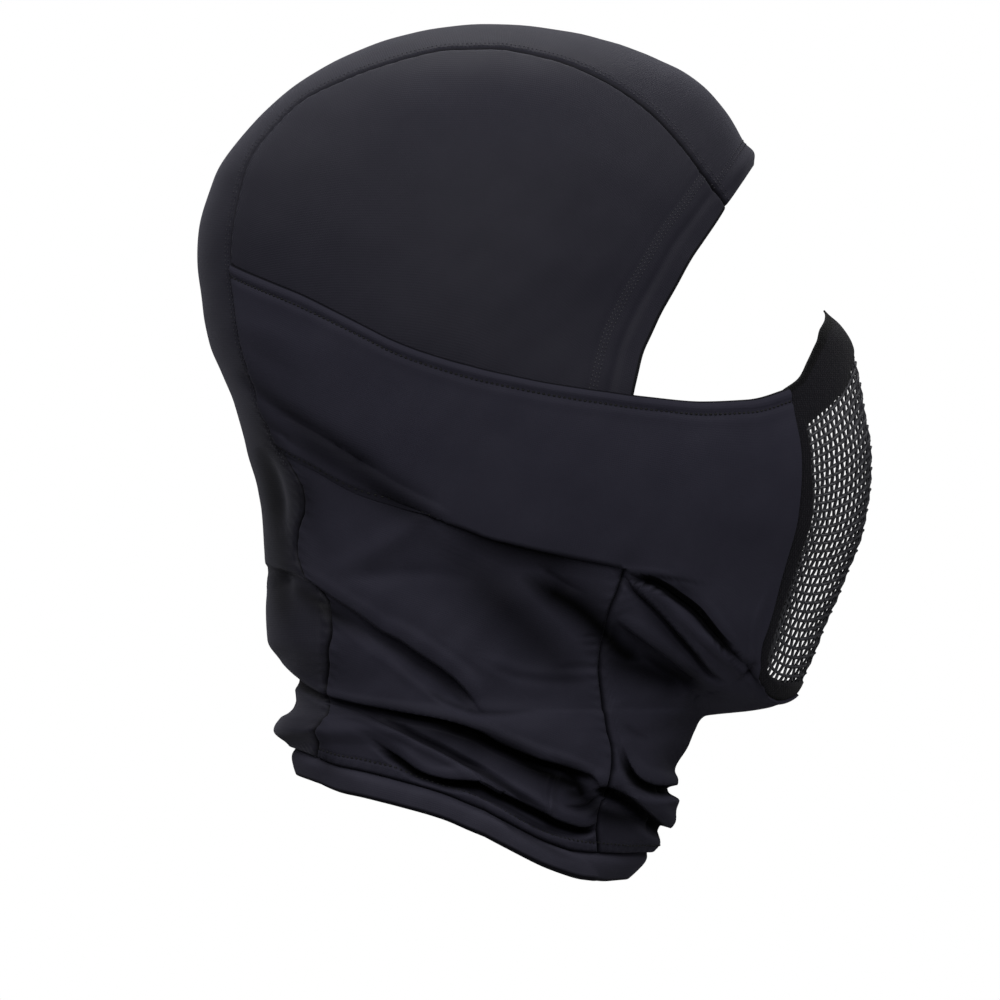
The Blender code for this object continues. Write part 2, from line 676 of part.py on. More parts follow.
def resample(line, shares):
    """Places at shares of the length of a line of places."""
    steps = np.linalg.norm(np.diff(base(line[:, 0], line[:, 1]), axis=0), axis=1)
    length = np.concatenate([[0.0], np.cumsum(steps)])
    length = length / length[-1]
    return np.stack([np.interp(shares, length, line[:, 0]), np.interp(shares, length, line[:, 1])], axis=-1)


strip_end = crown_strip()
side_panel("side_panel_right", False)
side_panel("side_panel_left", True)
neck_panel("neck_panel_right", False)
neck_panel("neck_panel_left", True)
face_panel()
neck_hem(strip_end)
mask_binding()
mask_mesh()
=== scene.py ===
import math

import bpy
import numpy as np
from mathutils import Matrix, Vector


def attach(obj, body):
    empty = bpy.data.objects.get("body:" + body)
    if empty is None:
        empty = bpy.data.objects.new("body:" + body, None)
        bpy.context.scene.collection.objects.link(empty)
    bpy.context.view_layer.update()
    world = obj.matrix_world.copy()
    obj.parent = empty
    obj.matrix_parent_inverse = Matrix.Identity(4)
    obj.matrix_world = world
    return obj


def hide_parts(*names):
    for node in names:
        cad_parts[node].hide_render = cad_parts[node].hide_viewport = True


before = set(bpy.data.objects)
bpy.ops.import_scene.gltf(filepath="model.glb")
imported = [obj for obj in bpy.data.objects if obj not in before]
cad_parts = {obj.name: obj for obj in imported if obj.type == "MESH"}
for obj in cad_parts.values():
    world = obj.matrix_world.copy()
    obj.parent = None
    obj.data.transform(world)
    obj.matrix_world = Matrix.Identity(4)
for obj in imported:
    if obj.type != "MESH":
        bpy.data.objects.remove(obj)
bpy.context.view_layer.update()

# The hood's form, in metres. Places are read in the side view: reach is 0 at the back and 1 at the front of
# the depth, drop is 0 at the top and 1 at the bottom of the height. The angle round it is 0 at the front.
hood = {
    "height": 0.2924,
    "depth": 0.2298,
    "halfBreadth": 0.078,
    "top": 0.0013,          # the outer face of the crown over the origin
    "topReach": 0.430,
    "jawClimb": 0.034,      # how far the jaw line climbs from the chin to the side
    "fabric": 0.0008,
    "seamDip": 0.0017,      # cloth sinks into each seam
    "seamWidth": 0.0008,
    "seamShade": 0.85,      # and painted shade along it makes a dark line, as on turned edges
    "pucker": 0.00018,      # small gathers beside a seam
    "puckerPitch": 0.0043,
    "puckerFrom": 0.0012,
    "puckerTo": 0.0045,
    "roll": 0.0008,         # radius of a turned edge
    "rollSteps": 6,
    "rollGap": 0.0002,      # between the turned cloth and the cloth over it
    "middle": (0.0, -0.01, -0.15),
}

# Level sections: drop, back reach, front reach, half width, widest reach, front and back squareness
levelSections = (
    (0.000, 0.430, 0.430, 0.000, 0.430, 2.00, 2.00),
    (0.007, 0.340, 0.537, 0.230, 0.430, 2.00, 2.00),
    (0.028, 0.247, 0.641, 0.455, 0.430, 2.00, 2.00),
    (0.065, 0.157, 0.738, 0.660, 0.425, 2.05, 2.05),
    (0.112, 0.087, 0.791, 0.800, 0.420, 2.10, 2.10),
    (0.181, 0.024, 0.830, 0.910, 0.415, 2.15, 2.15),
    (0.263, 0.000, 0.851, 0.972, 0.410, 2.10, 2.15),
    (0.334, 0.009, 0.928, 0.996, 0.405, 1.80, 2.15),
    (0.373, 0.019, 0.966, 1.000, 0.405, 1.75, 2.15),
    (0.437, 0.053, 0.984, 0.990, 0.410, 1.90, 2.10),
    (0.507, 0.077, 0.997, 0.962, 0.415, 2.00, 2.05),
    (0.577, 0.096, 0.988, 0.915, 0.420, 2.00, 2.00),
    (0.647, 0.101, 0.957, 0.865, 0.425, 1.97, 2.00),
    (0.716, 0.104, 0.920, 0.825, 0.425, 1.95, 2.00),
    (0.769, 0.145, 0.892, 0.808, 0.425, 1.95, 2.00),
    (0.786, 0.147, 0.874, 0.806, 0.425, 1.95, 2.00),
    (0.795, 0.143, 0.851, 0.808, 0.425, 1.95, 2.00),
    (0.801, 0.136, 0.796, 0.812, 0.425, 2.00, 2.00),
    (0.807, 0.124, 0.752, 0.818, 0.425, 2.00, 2.00),
    (0.821, 0.115, 0.740, 0.825, 0.425, 2.00, 2.05),
    (0.838, 0.134, 0.729, 0.818, 0.425, 2.05, 2.05),
    (0.870, 0.146, 0.708, 0.810, 0.425, 2.05, 2.05),
    (0.902, 0.155, 0.711, 0.818, 0.425, 2.05, 2.05),
    (0.937, 0.162, 0.697, 0.812, 0.425, 2.05, 2.05),
    (1.020, 0.175, 0.605, 0.790, 0.425, 2.05, 2.05),
)

# Seams and edges in the side view: reach and drop, and for the strip's seam the place on the middle line
# across from it, the signed root of its drop, front positive
seamLines = {
    "crown": (
        (0.783, 0.210, 0.404), (0.751, 0.176, 0.367), (0.714, 0.138, 0.322), (0.670, 0.102, 0.268),
        (0.596, 0.063, 0.180), (0.522, 0.040, 0.095), (0.435, 0.028, 0.000), (0.374, 0.029, -0.065),
        (0.300, 0.042, -0.132), (0.226, 0.062, -0.200), (0.152, 0.092, -0.275), (0.086, 0.147, -0.362),
    ),
    "back": (
        (0.086, 0.147, -0.362), (0.064, 0.193, -0.430), (0.053, 0.240, -0.486), (0.052, 0.286, -0.535),
        (0.061, 0.344, -0.587), (0.074, 0.391, -0.625), (0.090, 0.437, -0.660), (0.108, 0.468, -0.683),
        (0.124, 0.497, -0.703),
    ),
    "nape": (
        (0.124, 0.497, -0.703), (0.138, 0.515, -0.715), (0.155, 0.542, -0.735), (0.157, 0.563, -0.750),
        (0.148, 0.588, -0.767), (0.146, 0.612, -0.783), (0.156, 0.637, -0.800), (0.180, 0.655, -0.812),
        (0.194, 0.674, -0.824), (0.197, 0.705, -0.842), (0.192, 0.740, -0.862), (0.189, 0.774, -0.880),
        (0.181, 0.809, -0.897), (0.175, 0.854, -0.919),
    ),
    "bandBack": (
        (0.052, 0.280), (0.061, 0.344), (0.074, 0.391), (0.090, 0.437), (0.108, 0.468), (0.124, 0.497),
    ),
    "faceEdge": (
        (0.783, 0.210), (0.749, 0.251), (0.719, 0.288), (0.691, 0.327), (0.667, 0.365),
        (0.651, 0.400), (0.641, 0.434), (0.632, 0.484), (0.629, 0.553), (0.633, 0.633),
    ),
    "bandTop": (
        (0.052, 0.280), (0.152, 0.315), (0.226, 0.344), (0.300, 0.373), (0.374, 0.393), (0.448, 0.408),
        (0.522, 0.420), (0.596, 0.429), (0.670, 0.437), (0.744, 0.442), (0.811, 0.440), (0.871, 0.427),
    ),
    "bandFoot": (
        (0.124, 0.497), (0.152, 0.510), (0.182, 0.522), (0.212, 0.536), (0.241, 0.547), (0.300, 0.562),
        (0.367, 0.578), (0.419, 0.593), (0.448, 0.600),
        (0.522, 0.613), (0.596, 0.626), (0.633, 0.633),
    ),
    "chinFold": (
        (0.633, 0.633), (0.670, 0.640), (0.688, 0.645), (0.714, 0.658), (0.744, 0.676), (0.762, 0.693),
        (0.781, 0.711), (0.798, 0.724), (0.828, 0.734),
    ),
    "frontSeam": (
        (0.633, 0.633), (0.617, 0.670), (0.601, 0.716), (0.596, 0.745), (0.601, 0.786), (0.609, 0.821),
        (0.617, 0.856), (0.611, 0.885), (0.600, 0.908), (0.594, 0.931), (0.596, 0.965),
    ),
    "hemSide": (
        (0.175, 0.854), (0.204, 0.863), (0.241, 0.869), (0.300, 0.880), (0.360, 0.893), (0.404, 0.907),
        (0.448, 0.923), (0.522, 0.951), (0.570, 0.963), (0.596, 0.965),
    ),
    "hemFront": ((0.596, 0.965), (0.640, 0.967), (0.690, 0.966)),
    "rimNose": (
        (0.935, 0.334), (0.925, 0.356), (0.919, 0.373), (0.907, 0.393), (0.893, 0.414), (0.871, 0.427),
    ),
    "rimSide": (
        (0.871, 0.427), (0.883, 0.472), (0.889, 0.519), (0.885, 0.565), (0.871, 0.612), (0.851, 0.670),
        (0.833, 0.716), (0.828, 0.734),
    ),
    "rimChin": ((0.828, 0.734), (0.828, 0.757), (0.839, 0.777), (0.862, 0.784), (0.900, 0.777)),
    "tapeNose": (
        (0.980, 0.381), (0.967, 0.400), (0.959, 0.420), (0.936, 0.443), (0.915, 0.457), (0.899, 0.468),
    ),
    "tapeSide": (
        (0.899, 0.468), (0.907, 0.519), (0.910, 0.553), (0.904, 0.588), (0.889, 0.623), (0.874, 0.658),
        (0.859, 0.693), (0.845, 0.728),
    ),
    "tapeChin": ((0.845, 0.728), (0.842, 0.747), (0.850, 0.759), (0.869, 0.765), (0.905, 0.763)),
}

# Folds along lines in the side view: kind, half width and height in metres, then reach, drop and strength
# at each point. A roll hangs over the cloth on the right hand of its line, a pinch is a valley with raised
# sides, and a dim or a shadow changes no shape and is only painted shade. Each fold paints shade into the
# colour as well, a painted shade where the cloth sinks.
napeFolds = (
    ("roll", 0.0019, 0.0038, ((0.132, 0.751, 0.3), (0.146, 0.759, 0.45), (0.164, 0.770, 0.4),
                              (0.189, 0.780, 0.3), (0.219, 0.787, 0.3), (0.249, 0.792, 0.4),
                              (0.300, 0.799, 0.55), (0.359, 0.807, 0.65), (0.389, 0.813, 0.75),
                              (0.419, 0.821, 0.8), (0.448, 0.834, 0.85), (0.478, 0.844, 0.9),
                              (0.507, 0.853, 0.9), (0.537, 0.860, 0.8), (0.581, 0.872, 0.4),
                              (0.596, 0.884, 0.1))),
    ("valley", 0.0042, 0.0030, ((0.090, 0.493, 0.1), (0.102, 0.514, 0.7), (0.112, 0.535, 1),
                                (0.118, 0.553, 1), (0.124, 0.574, 0.7), (0.132, 0.595, 0.2))),
    ("valley", 0.0050, 0.0022, ((0.111, 0.637, 0.2), (0.126, 0.652, 1), (0.146, 0.670, 1),
                                (0.158, 0.699, 0.6), (0.164, 0.728, 0.1))),
    ("ridge", 0.0014, 0.0008, ((0.182, 0.670, 0.5), (0.185, 0.699, 1), (0.182, 0.734, 0.2))),
    ("dim", 0.0070, 0.0025, ((0.096, 0.460, 0.3), (0.102, 0.495, 0.7), (0.108, 0.530, 1), (0.115, 0.559, 0.9),
                             (0.118, 0.594, 0.7), (0.121, 0.629, 0.7), (0.123, 0.664, 0.7),
                             (0.129, 0.684, 0.5), (0.141, 0.707, 0.1))),
)
neckFolds = (
    ("sag", 0.0030, 0.0034, ((0.108, 0.633, 0.15), (0.130, 0.638, 0.3), (0.152, 0.643, 0.35),
                             (0.179, 0.656, 0.4), (0.203, 0.669, 0.45), (0.219, 0.677, 0.45),
                             (0.241, 0.688, 0.55), (0.271, 0.705, 0.65), (0.300, 0.717, 0.85),
                             (0.330, 0.733, 0.95), (0.359, 0.748, 1), (0.383, 0.763, 1), (0.399, 0.777, 0.7),
                             (0.411, 0.791, 0.25))),
    ("ridge", 0.0026, 0.0011, ((0.259, 0.716, 0.3), (0.300, 0.744, 1), (0.330, 0.764, 1), (0.359, 0.779, 1),
                               (0.392, 0.793, 0.9), (0.416, 0.802, 0.3))),
    ("crease", 0.0012, 0.0011, ((0.342, 0.774, 0.2), (0.367, 0.786, 0.8), (0.389, 0.793, 1),
                                (0.413, 0.800, 1), (0.448, 0.801, 0.8), (0.493, 0.799, 0.2))),
    ("valley", 0.0050, 0.0008, ((0.404, 0.781, 0.2), (0.448, 0.785, 1), (0.493, 0.784, 0.3))),
    ("valley", 0.0034, 0.0012, ((0.238, 0.643, 0.3), (0.271, 0.641, 1), (0.308, 0.638, 0.8),
                                (0.345, 0.638, 0.5), (0.389, 0.644, 0.2))),
    ("ridge", 0.0070, 0.0018, ((0.219, 0.647, 0.3), (0.271, 0.670, 1), (0.330, 0.695, 1), (0.389, 0.722, 0.8),
                               (0.433, 0.740, 0.2))),
    ("ridge", 0.0020, 0.0004, ((0.348, 0.709, 0.1), (0.389, 0.730, 1), (0.419, 0.745, 1),
                               (0.466, 0.763, 0.2))),
    ("ridge", 0.0020, 0.0004, ((0.416, 0.733, 0.1), (0.448, 0.742, 1), (0.493, 0.752, 1), (0.552, 0.756, 1),
                               (0.592, 0.753, 0.6))),
    ("valley", 0.0018, 0.0004, ((0.433, 0.749, 0.1), (0.478, 0.760, 1), (0.537, 0.765, 1),
                                (0.590, 0.765, 0.4))),
    ("crease", 0.0018, 0.0018, ((0.501, 0.628, 0.1), (0.522, 0.638, 1), (0.544, 0.650, 1),
                                (0.567, 0.660, 0.3))),
    ("valley", 0.0075, 0.0032, ((0.359, 0.606, 0.1), (0.411, 0.623, 0.5), (0.456, 0.636, 0.8),
                                (0.507, 0.641, 1), (0.559, 0.667, 1), (0.593, 0.695, 0.7))),
    ("pinch", 0.0012, 0.0006, ((0.567, 0.712, 0.1), (0.584, 0.712, 1), (0.602, 0.713, 0.6))),
    ("pinch", 0.0012, 0.0004, ((0.564, 0.722, 0.1), (0.584, 0.722, 1), (0.602, 0.722, 0.5))),
    ("pinch", 0.0020, 0.0005, ((0.531, 0.748, 0.1), (0.559, 0.748, 1), (0.592, 0.748, 0.8))),
    ("ridge", 0.0045, 0.0017, ((0.219, 0.628, 0.4), (0.259, 0.614, 0.8), (0.297, 0.597, 1),
                               (0.324, 0.581, 0.8), (0.345, 0.570, 0.2))),
    ("shadow", 0.0070, 0.0020, ((0.337, 0.572, 0.1), (0.374, 0.579, 0.4), (0.419, 0.593, 0.8),
                                (0.470, 0.603, 1), (0.522, 0.613, 1), (0.567, 0.621, 0.6),
                                (0.611, 0.629, 0.2))),
    ("dim", 0.0060, 0.0027, ((0.478, 0.640, 0.2), (0.515, 0.656, 0.7), (0.559, 0.676, 1), (0.596, 0.702, 1),
                             (0.629, 0.730, 0.9), (0.663, 0.744, 0.5), (0.700, 0.760, 0.1))),
    ("dim", 0.0038, 0.0018, ((0.132, 0.647, 0.4), (0.164, 0.665, 0.9), (0.204, 0.685, 1), (0.241, 0.700, 0.6),
                             (0.271, 0.714, 0.2))),
    ("dim", 0.0095, 0.0015, ((0.359, 0.606, 0.3), (0.411, 0.641, 0.7), (0.456, 0.676, 1), (0.500, 0.710, 0.9),
                             (0.537, 0.745, 0.7), (0.567, 0.774, 0.2))),
    ("dim", 0.0060, 0.0012, ((0.130, 0.519, 0.4), (0.152, 0.548, 1), (0.164, 0.571, 0.6),
                             (0.182, 0.594, 0.2))),
)
collarFolds = (
    ("roll", 0.0013, 0.0015, ((0.519, 0.916, 0.2), (0.478, 0.899, 0.9), (0.448, 0.885, 1), (0.419, 0.871, 1),
                              (0.389, 0.858, 1), (0.359, 0.845, 1), (0.330, 0.834, 1), (0.300, 0.822, 1),
                              (0.278, 0.814, 1), (0.249, 0.803, 1), (0.219, 0.795, 1), (0.189, 0.788, 0.6),
                              (0.176, 0.786, 0.1))),
    ("roll", 0.0020, 0.0036, ((0.271, 0.837, 0.2), (0.300, 0.851, 0.6), (0.327, 0.866, 0.6),
                              (0.348, 0.873, 0.55), (0.374, 0.877, 0.8), (0.398, 0.878, 0.95),
                              (0.419, 0.880, 1), (0.448, 0.891, 1), (0.478, 0.902, 1), (0.515, 0.916, 1),
                              (0.540, 0.926, 0.9), (0.574, 0.933, 0.6), (0.590, 0.929, 0.1))),
    ("roll", 0.0013, 0.0010, ((0.581, 0.949, 0.1), (0.537, 0.943, 0.8), (0.507, 0.935, 1), (0.478, 0.923, 1),
                              (0.448, 0.909, 1), (0.419, 0.897, 1), (0.389, 0.887, 1), (0.359, 0.881, 0.9),
                              (0.330, 0.874, 0.3))),
    ("pinch", 0.0024, 0.0009, ((0.234, 0.819, 0.2), (0.263, 0.830, 0.8), (0.293, 0.844, 1),
                               (0.315, 0.856, 0.4))),
    ("crease", 0.0013, 0.0010, ((0.448, 0.916, 0.1), (0.466, 0.935, 0.8), (0.490, 0.945, 1),
                                (0.515, 0.956, 1), (0.537, 0.965, 0.8), (0.564, 0.972, 0.1))),
    ("ridge", 0.0013, 0.0026, ((0.540, 0.867, 0.2), (0.528, 0.879, 1), (0.524, 0.897, 1), (0.525, 0.912, 1),
                               (0.534, 0.926, 0.3))),
    ("valley", 0.0032, 0.0020, ((0.540, 0.870, 0.3), (0.559, 0.881, 1), (0.570, 0.893, 1),
                                (0.574, 0.905, 0.5))),
    ("roll", 0.0015, 0.0012, ((0.552, 0.909, 0.2), (0.570, 0.908, 0.9), (0.584, 0.901, 1),
                              (0.599, 0.893, 0.5))),
    ("roll", 0.0022, 0.0032, ((0.629, 0.842, 0.1), (0.641, 0.863, 0.6), (0.658, 0.878, 1), (0.682, 0.885, 1),
                              (0.706, 0.886, 0.7))),
    ("ridge", 0.0020, 0.0018, ((0.629, 0.842, 0.4), (0.627, 0.862, 1), (0.635, 0.878, 1), (0.652, 0.891, 1),
                               (0.673, 0.900, 1), (0.703, 0.902, 0.8))),
    ("roll", 0.0028, 0.0036, ((0.587, 0.891, 0.2), (0.602, 0.886, 0.9), (0.623, 0.891, 1), (0.643, 0.900, 1),
                              (0.664, 0.914, 1), (0.682, 0.926, 0.9), (0.703, 0.940, 0.5))),
    ("dim", 0.0042, 0.0026, ((0.219, 0.794, 0.4), (0.278, 0.802, 0.7), (0.322, 0.809, 0.7),
                             (0.367, 0.817, 0.8), (0.419, 0.831, 1), (0.463, 0.845, 1.1), (0.507, 0.867, 1),
                             (0.552, 0.881, 0.9), (0.581, 0.891, 0.3))),
    ("dim", 0.0026, 0.0019, ((0.256, 0.800, 0.3), (0.286, 0.806, 1), (0.322, 0.810, 0.8),
                             (0.359, 0.817, 0.3))),
    ("dim", 0.0042, 0.0019, ((0.549, 0.888, 0.5), (0.578, 0.906, 0.9), (0.611, 0.919, 1), (0.643, 0.924, 1),
                             (0.670, 0.929, 0.4))),
    ("dim", 0.0034, 0.0023, ((0.534, 0.858, 0.4), (0.553, 0.873, 1), (0.567, 0.891, 1), (0.572, 0.905, 0.5))),
    ("dim", 0.0034, 0.0019, ((0.537, 0.885, 0.5), (0.559, 0.893, 1), (0.581, 0.902, 1), (0.604, 0.909, 0.5))),
    ("dim", 0.0032, 0.0010, ((0.179, 0.803, 0.2), (0.186, 0.833, 0.5), (0.194, 0.862, 0.9),
                             (0.219, 0.873, 0.4))),
)
chinFolds = (
    ("slit", 0.0023, 0.0036, ((0.638, 0.636, 0.2), (0.670, 0.640, 0.7), (0.688, 0.645, 0.9),
                              (0.714, 0.658, 1), (0.744, 0.676, 1), (0.762, 0.693, 0.9), (0.781, 0.712, 0.7),
                              (0.800, 0.730, 0.4), (0.812, 0.744, 0.15))),
    ("dim", 0.0011, 0.0016, ((0.638, 0.636, 0.3), (0.673, 0.641, 0.8), (0.691, 0.643, 1), (0.709, 0.645, 0.9),
                             (0.729, 0.648, 0.6), (0.753, 0.651, 0.1))),
    ("ridge", 0.0016, 0.0022, ((0.655, 0.643, 0.1), (0.685, 0.666, 1), (0.714, 0.690, 1), (0.744, 0.712, 1),
                               (0.774, 0.730, 1), (0.800, 0.748, 1), (0.821, 0.766, 0.8),
                               (0.836, 0.783, 0.2))),
    ("roll", 0.0015, 0.0018, ((0.623, 0.634, 0.2), (0.643, 0.651, 0.6), (0.655, 0.660, 0.8),
                              (0.685, 0.684, 0.85), (0.714, 0.710, 1), (0.737, 0.730, 1), (0.756, 0.749, 0.8),
                              (0.771, 0.760, 0.3))),
    ("ridge", 0.0026, 0.0010, ((0.648, 0.681, 0.2), (0.685, 0.709, 1), (0.714, 0.733, 1), (0.744, 0.753, 1),
                               (0.774, 0.777, 0.3))),
    ("sag", 0.0024, 0.0028, ((0.617, 0.693, 0), (0.633, 0.702, 0.7), (0.655, 0.714, 1), (0.685, 0.731, 1),
                             (0.714, 0.749, 1), (0.735, 0.763, 0.4), (0.753, 0.774, 0.1))),
    ("valley", 0.0060, 0.0016, ((0.629, 0.734, 0.3), (0.670, 0.749, 1), (0.714, 0.765, 1),
                                (0.766, 0.784, 0.7))),
    ("pinch", 0.0016, 0.0010, ((0.809, 0.740, 0.2), (0.818, 0.757, 1), (0.830, 0.772, 1),
                               (0.845, 0.784, 0.3))),
    ("ridge", 0.0020, 0.0007, ((0.608, 0.800, 0.5), (0.617, 0.793, 1), (0.629, 0.788, 0.3))),
    ("crease", 0.0014, 0.0007, ((0.629, 0.812, 0.1), (0.643, 0.822, 1), (0.670, 0.834, 0.2))),
    ("ridge", 0.0040, 0.0010, ((0.633, 0.800, 0.2), (0.655, 0.786, 1), (0.688, 0.777, 0.4))),
    ("valley", 0.0040, 0.0014, ((0.670, 0.827, 0.3), (0.703, 0.819, 1), (0.737, 0.809, 0.7))),
    ("dim", 0.0024, 0.0009, ((0.643, 0.660, 0.2), (0.667, 0.684, 0.8), (0.692, 0.707, 1), (0.722, 0.734, 0.8),
                             (0.744, 0.753, 0.2))),
    ("dim", 0.0045, 0.0019, ((0.641, 0.726, 0.2), (0.663, 0.736, 0.8), (0.692, 0.750, 1), (0.722, 0.763, 1),
                             (0.751, 0.777, 0.3))),
    ("dim", 0.0020, 0.0009, ((0.703, 0.649, 0.3), (0.720, 0.655, 1), (0.741, 0.663, 0.6),
                             (0.756, 0.672, 0.1))),
    ("dim", 0.0058, 0.0019, ((0.596, 0.728, 0.5), (0.626, 0.741, 0.9), (0.663, 0.751, 1), (0.697, 0.762, 1),
                             (0.729, 0.771, 0.5))),
)
bandFolds = (
    ("valley", 0.0026, 0.0026, ((0.078, 0.416, 0.4), (0.096, 0.428, 0.7), (0.123, 0.443, 0.9),
                                (0.152, 0.459, 1), (0.189, 0.477, 1), (0.219, 0.493, 1), (0.244, 0.506, 0.9),
                                (0.268, 0.517, 0.5), (0.293, 0.528, 0.1))),
    ("valley", 0.0026, 0.0009, ((0.068, 0.367, 0.8), (0.101, 0.386, 1), (0.138, 0.401, 0.7),
                                (0.167, 0.412, 0.1))),
    ("ridge", 0.0026, 0.0009, ((0.064, 0.347, 0.3), (0.101, 0.356, 1), (0.152, 0.373, 0.4))),
    ("crease", 0.0012, 0.0012, ((0.105, 0.460, 0.2), (0.117, 0.469, 1), (0.133, 0.478, 1),
                                (0.149, 0.488, 0.6), (0.170, 0.498, 0.1))),
    ("ridge", 0.0018, 0.0010, ((0.126, 0.458, 0.2), (0.152, 0.474, 0.6), (0.182, 0.491, 0.8),
                               (0.219, 0.509, 0.8), (0.249, 0.523, 0.9), (0.278, 0.535, 1), (0.303, 0.545, 1),
                               (0.330, 0.556, 1), (0.357, 0.566, 0.7), (0.377, 0.574, 0.1))),
    ("crease", 0.0012, 0.0012, ((0.249, 0.535, 0.1), (0.274, 0.544, 0.8), (0.300, 0.553, 1),
                                (0.327, 0.562, 1), (0.351, 0.571, 0.7), (0.368, 0.577, 0.1))),
    ("valley", 0.0024, 0.0009, ((0.278, 0.528, 0.2), (0.300, 0.535, 0.8), (0.322, 0.544, 0.8),
                                (0.352, 0.556, 0.2))),
    ("ridge", 0.0011, 0.0011, ((0.842, 0.656, 0.2), (0.830, 0.676, 0.8), (0.822, 0.699, 1), (0.820, 0.728, 1),
                               (0.822, 0.751, 1), (0.830, 0.769, 1), (0.845, 0.781, 0.4))),
    ("crease", 0.0012, 0.0016, ((0.809, 0.734, 0.1), (0.818, 0.749, 1), (0.828, 0.765, 1),
                                (0.840, 0.777, 0.5), (0.851, 0.784, 0.1))),
    ("dim", 0.0058, 0.0015, ((0.096, 0.431, 0.2), (0.138, 0.460, 0.6), (0.182, 0.490, 1), (0.219, 0.507, 1),
                             (0.256, 0.527, 1), (0.293, 0.550, 1), (0.330, 0.567, 0.8), (0.359, 0.577, 0.3))),
    ("dim", 0.0030, 0.0015, ((0.087, 0.423, 0.4), (0.123, 0.445, 0.8), (0.152, 0.462, 1), (0.189, 0.480, 1),
                             (0.219, 0.495, 1), (0.244, 0.508, 1), (0.271, 0.520, 0.5))),
)


def smoothCurve(knots, values, places):  # a smooth curve that never swings past its table
    knots = np.asarray(knots, float)
    values = np.asarray(values, float)
    gaps = np.diff(knots)
    slopes = np.diff(values) / gaps
    bend = np.zeros_like(values)
    for i in range(1, len(knots) - 1):
        if slopes[i - 1] * slopes[i] > 0:
            before = gaps[i - 1] + 2 * gaps[i]
            after = 2 * gaps[i - 1] + gaps[i]
            bend[i] = (before + after) / (before / slopes[i] + after / slopes[i - 1])
    bend[0] = slopes[0]
    bend[-1] = slopes[-1]
    places = np.clip(places, knots[0], knots[-1])
    i = np.clip(np.searchsorted(knots, places) - 1, 0, len(gaps) - 1)
    t = (places - knots[i]) / gaps[i]
    start = (2 * t**3 - 3 * t**2 + 1) * values[i] + (t**3 - 2 * t**2 + t) * gaps[i] * bend[i]
    end = (3 * t**2 - 2 * t**3) * values[i + 1] + (t**3 - t**2) * gaps[i] * bend[i + 1]
    return start + end


sectionSteps = 3000
softSteps, softWidth = 150, 45.0  # how far the front outline is softened round to the sides
sectionRoots = np.sqrt([row[0] for row in levelSections])
sectionFine = np.linspace(0.0, sectionRoots[-1], sectionSteps)
sectionTable = [smoothCurve(sectionRoots, [row[k] for row in levelSections], sectionFine) for k in range(7)]
softening = np.exp(-0.5 * (np.arange(-softSteps, softSteps + 1) / softWidth) ** 2)
softening = softening / softening.sum()
softFront = np.convolve(np.pad(sectionTable[2], softSteps, mode="edge"), softening, mode="valid")


def sectionAt(column, drop, table=None):
    values = sectionTable[column] if table is None else table
    return np.interp(np.sqrt(np.clip(drop, 0.0, None)), sectionFine, values)


def smoothStep(value, low, high):
    t = np.clip((value - low) / (high - low), 0.0, 1.0)
    return t * t * (3 - 2 * t)


def reachAt(angle, drop):
    cosine = np.cos(angle)
    jaw = hood["jawClimb"] / hood["height"] * np.sin(angle) ** 2 * smoothStep(drop, 0.52, 0.66)
    widest = sectionAt(4, drop)
    front = sectionAt(2, drop + jaw)  # the chin's sharp underside softens round to the sides
    soft = sectionAt(2, drop + jaw, softFront)
    front = front + (soft - front) * smoothStep(np.sin(angle) ** 2, 0.04, 0.34) * smoothStep(drop, 0.60, 0.70)
    ahead = (front - widest) * np.abs(cosine) ** (2 / sectionAt(5, drop))
    behind = (widest - sectionAt(1, drop)) * np.abs(cosine) ** (2 / sectionAt(6, drop))
    return widest + np.where(cosine >= 0, ahead, -behind)


def sideAt(angle, drop):
    squareness = np.where(np.cos(angle) >= 0, sectionAt(5, drop), sectionAt(6, drop))
    sine = np.sin(angle)
    return hood["halfBreadth"] * sectionAt(3, drop) * np.sign(sine) * np.abs(sine) ** (2 / squareness)


halvings = 40


def angleAt(reach, drop):  # found by halving
    low = np.zeros_like(np.asarray(reach, float))
    high = low + math.pi
    for step in range(halvings):
        middle = (low + high) / 2
        ahead = reachAt(middle, drop) > reach
        low = np.where(ahead, middle, low)
        high = np.where(ahead, high, middle)
    angle = (low + high) / 2
    angle = np.where(reach >= reachAt(0.0 * angle, drop), 0.0, angle)
    return np.where(reach <= reachAt(0.0 * angle + math.pi, drop), math.pi, angle)


def plainPoint(angle, drop):
    x = -sideAt(angle, drop)
    y = (hood["topReach"] - reachAt(angle, drop)) * hood["depth"]
    z = hood["top"] - drop * hood["height"] + 0.0 * x
    return np.stack([x, y, z], axis=-1)


def outwardOf(surface, angle, drop):
    root = np.maximum(np.sqrt(np.clip(drop, 0.0, None)), 0.03)
    turn = surface(angle + 0.008, root**2) - surface(angle - 0.008, root**2)
    down = surface(angle, (root + 0.002) ** 2) - surface(angle, (root - 0.002) ** 2)
    out = np.cross(turn, down)
    return out / np.maximum(np.linalg.norm(out, axis=-1, keepdims=True), 1e-12)


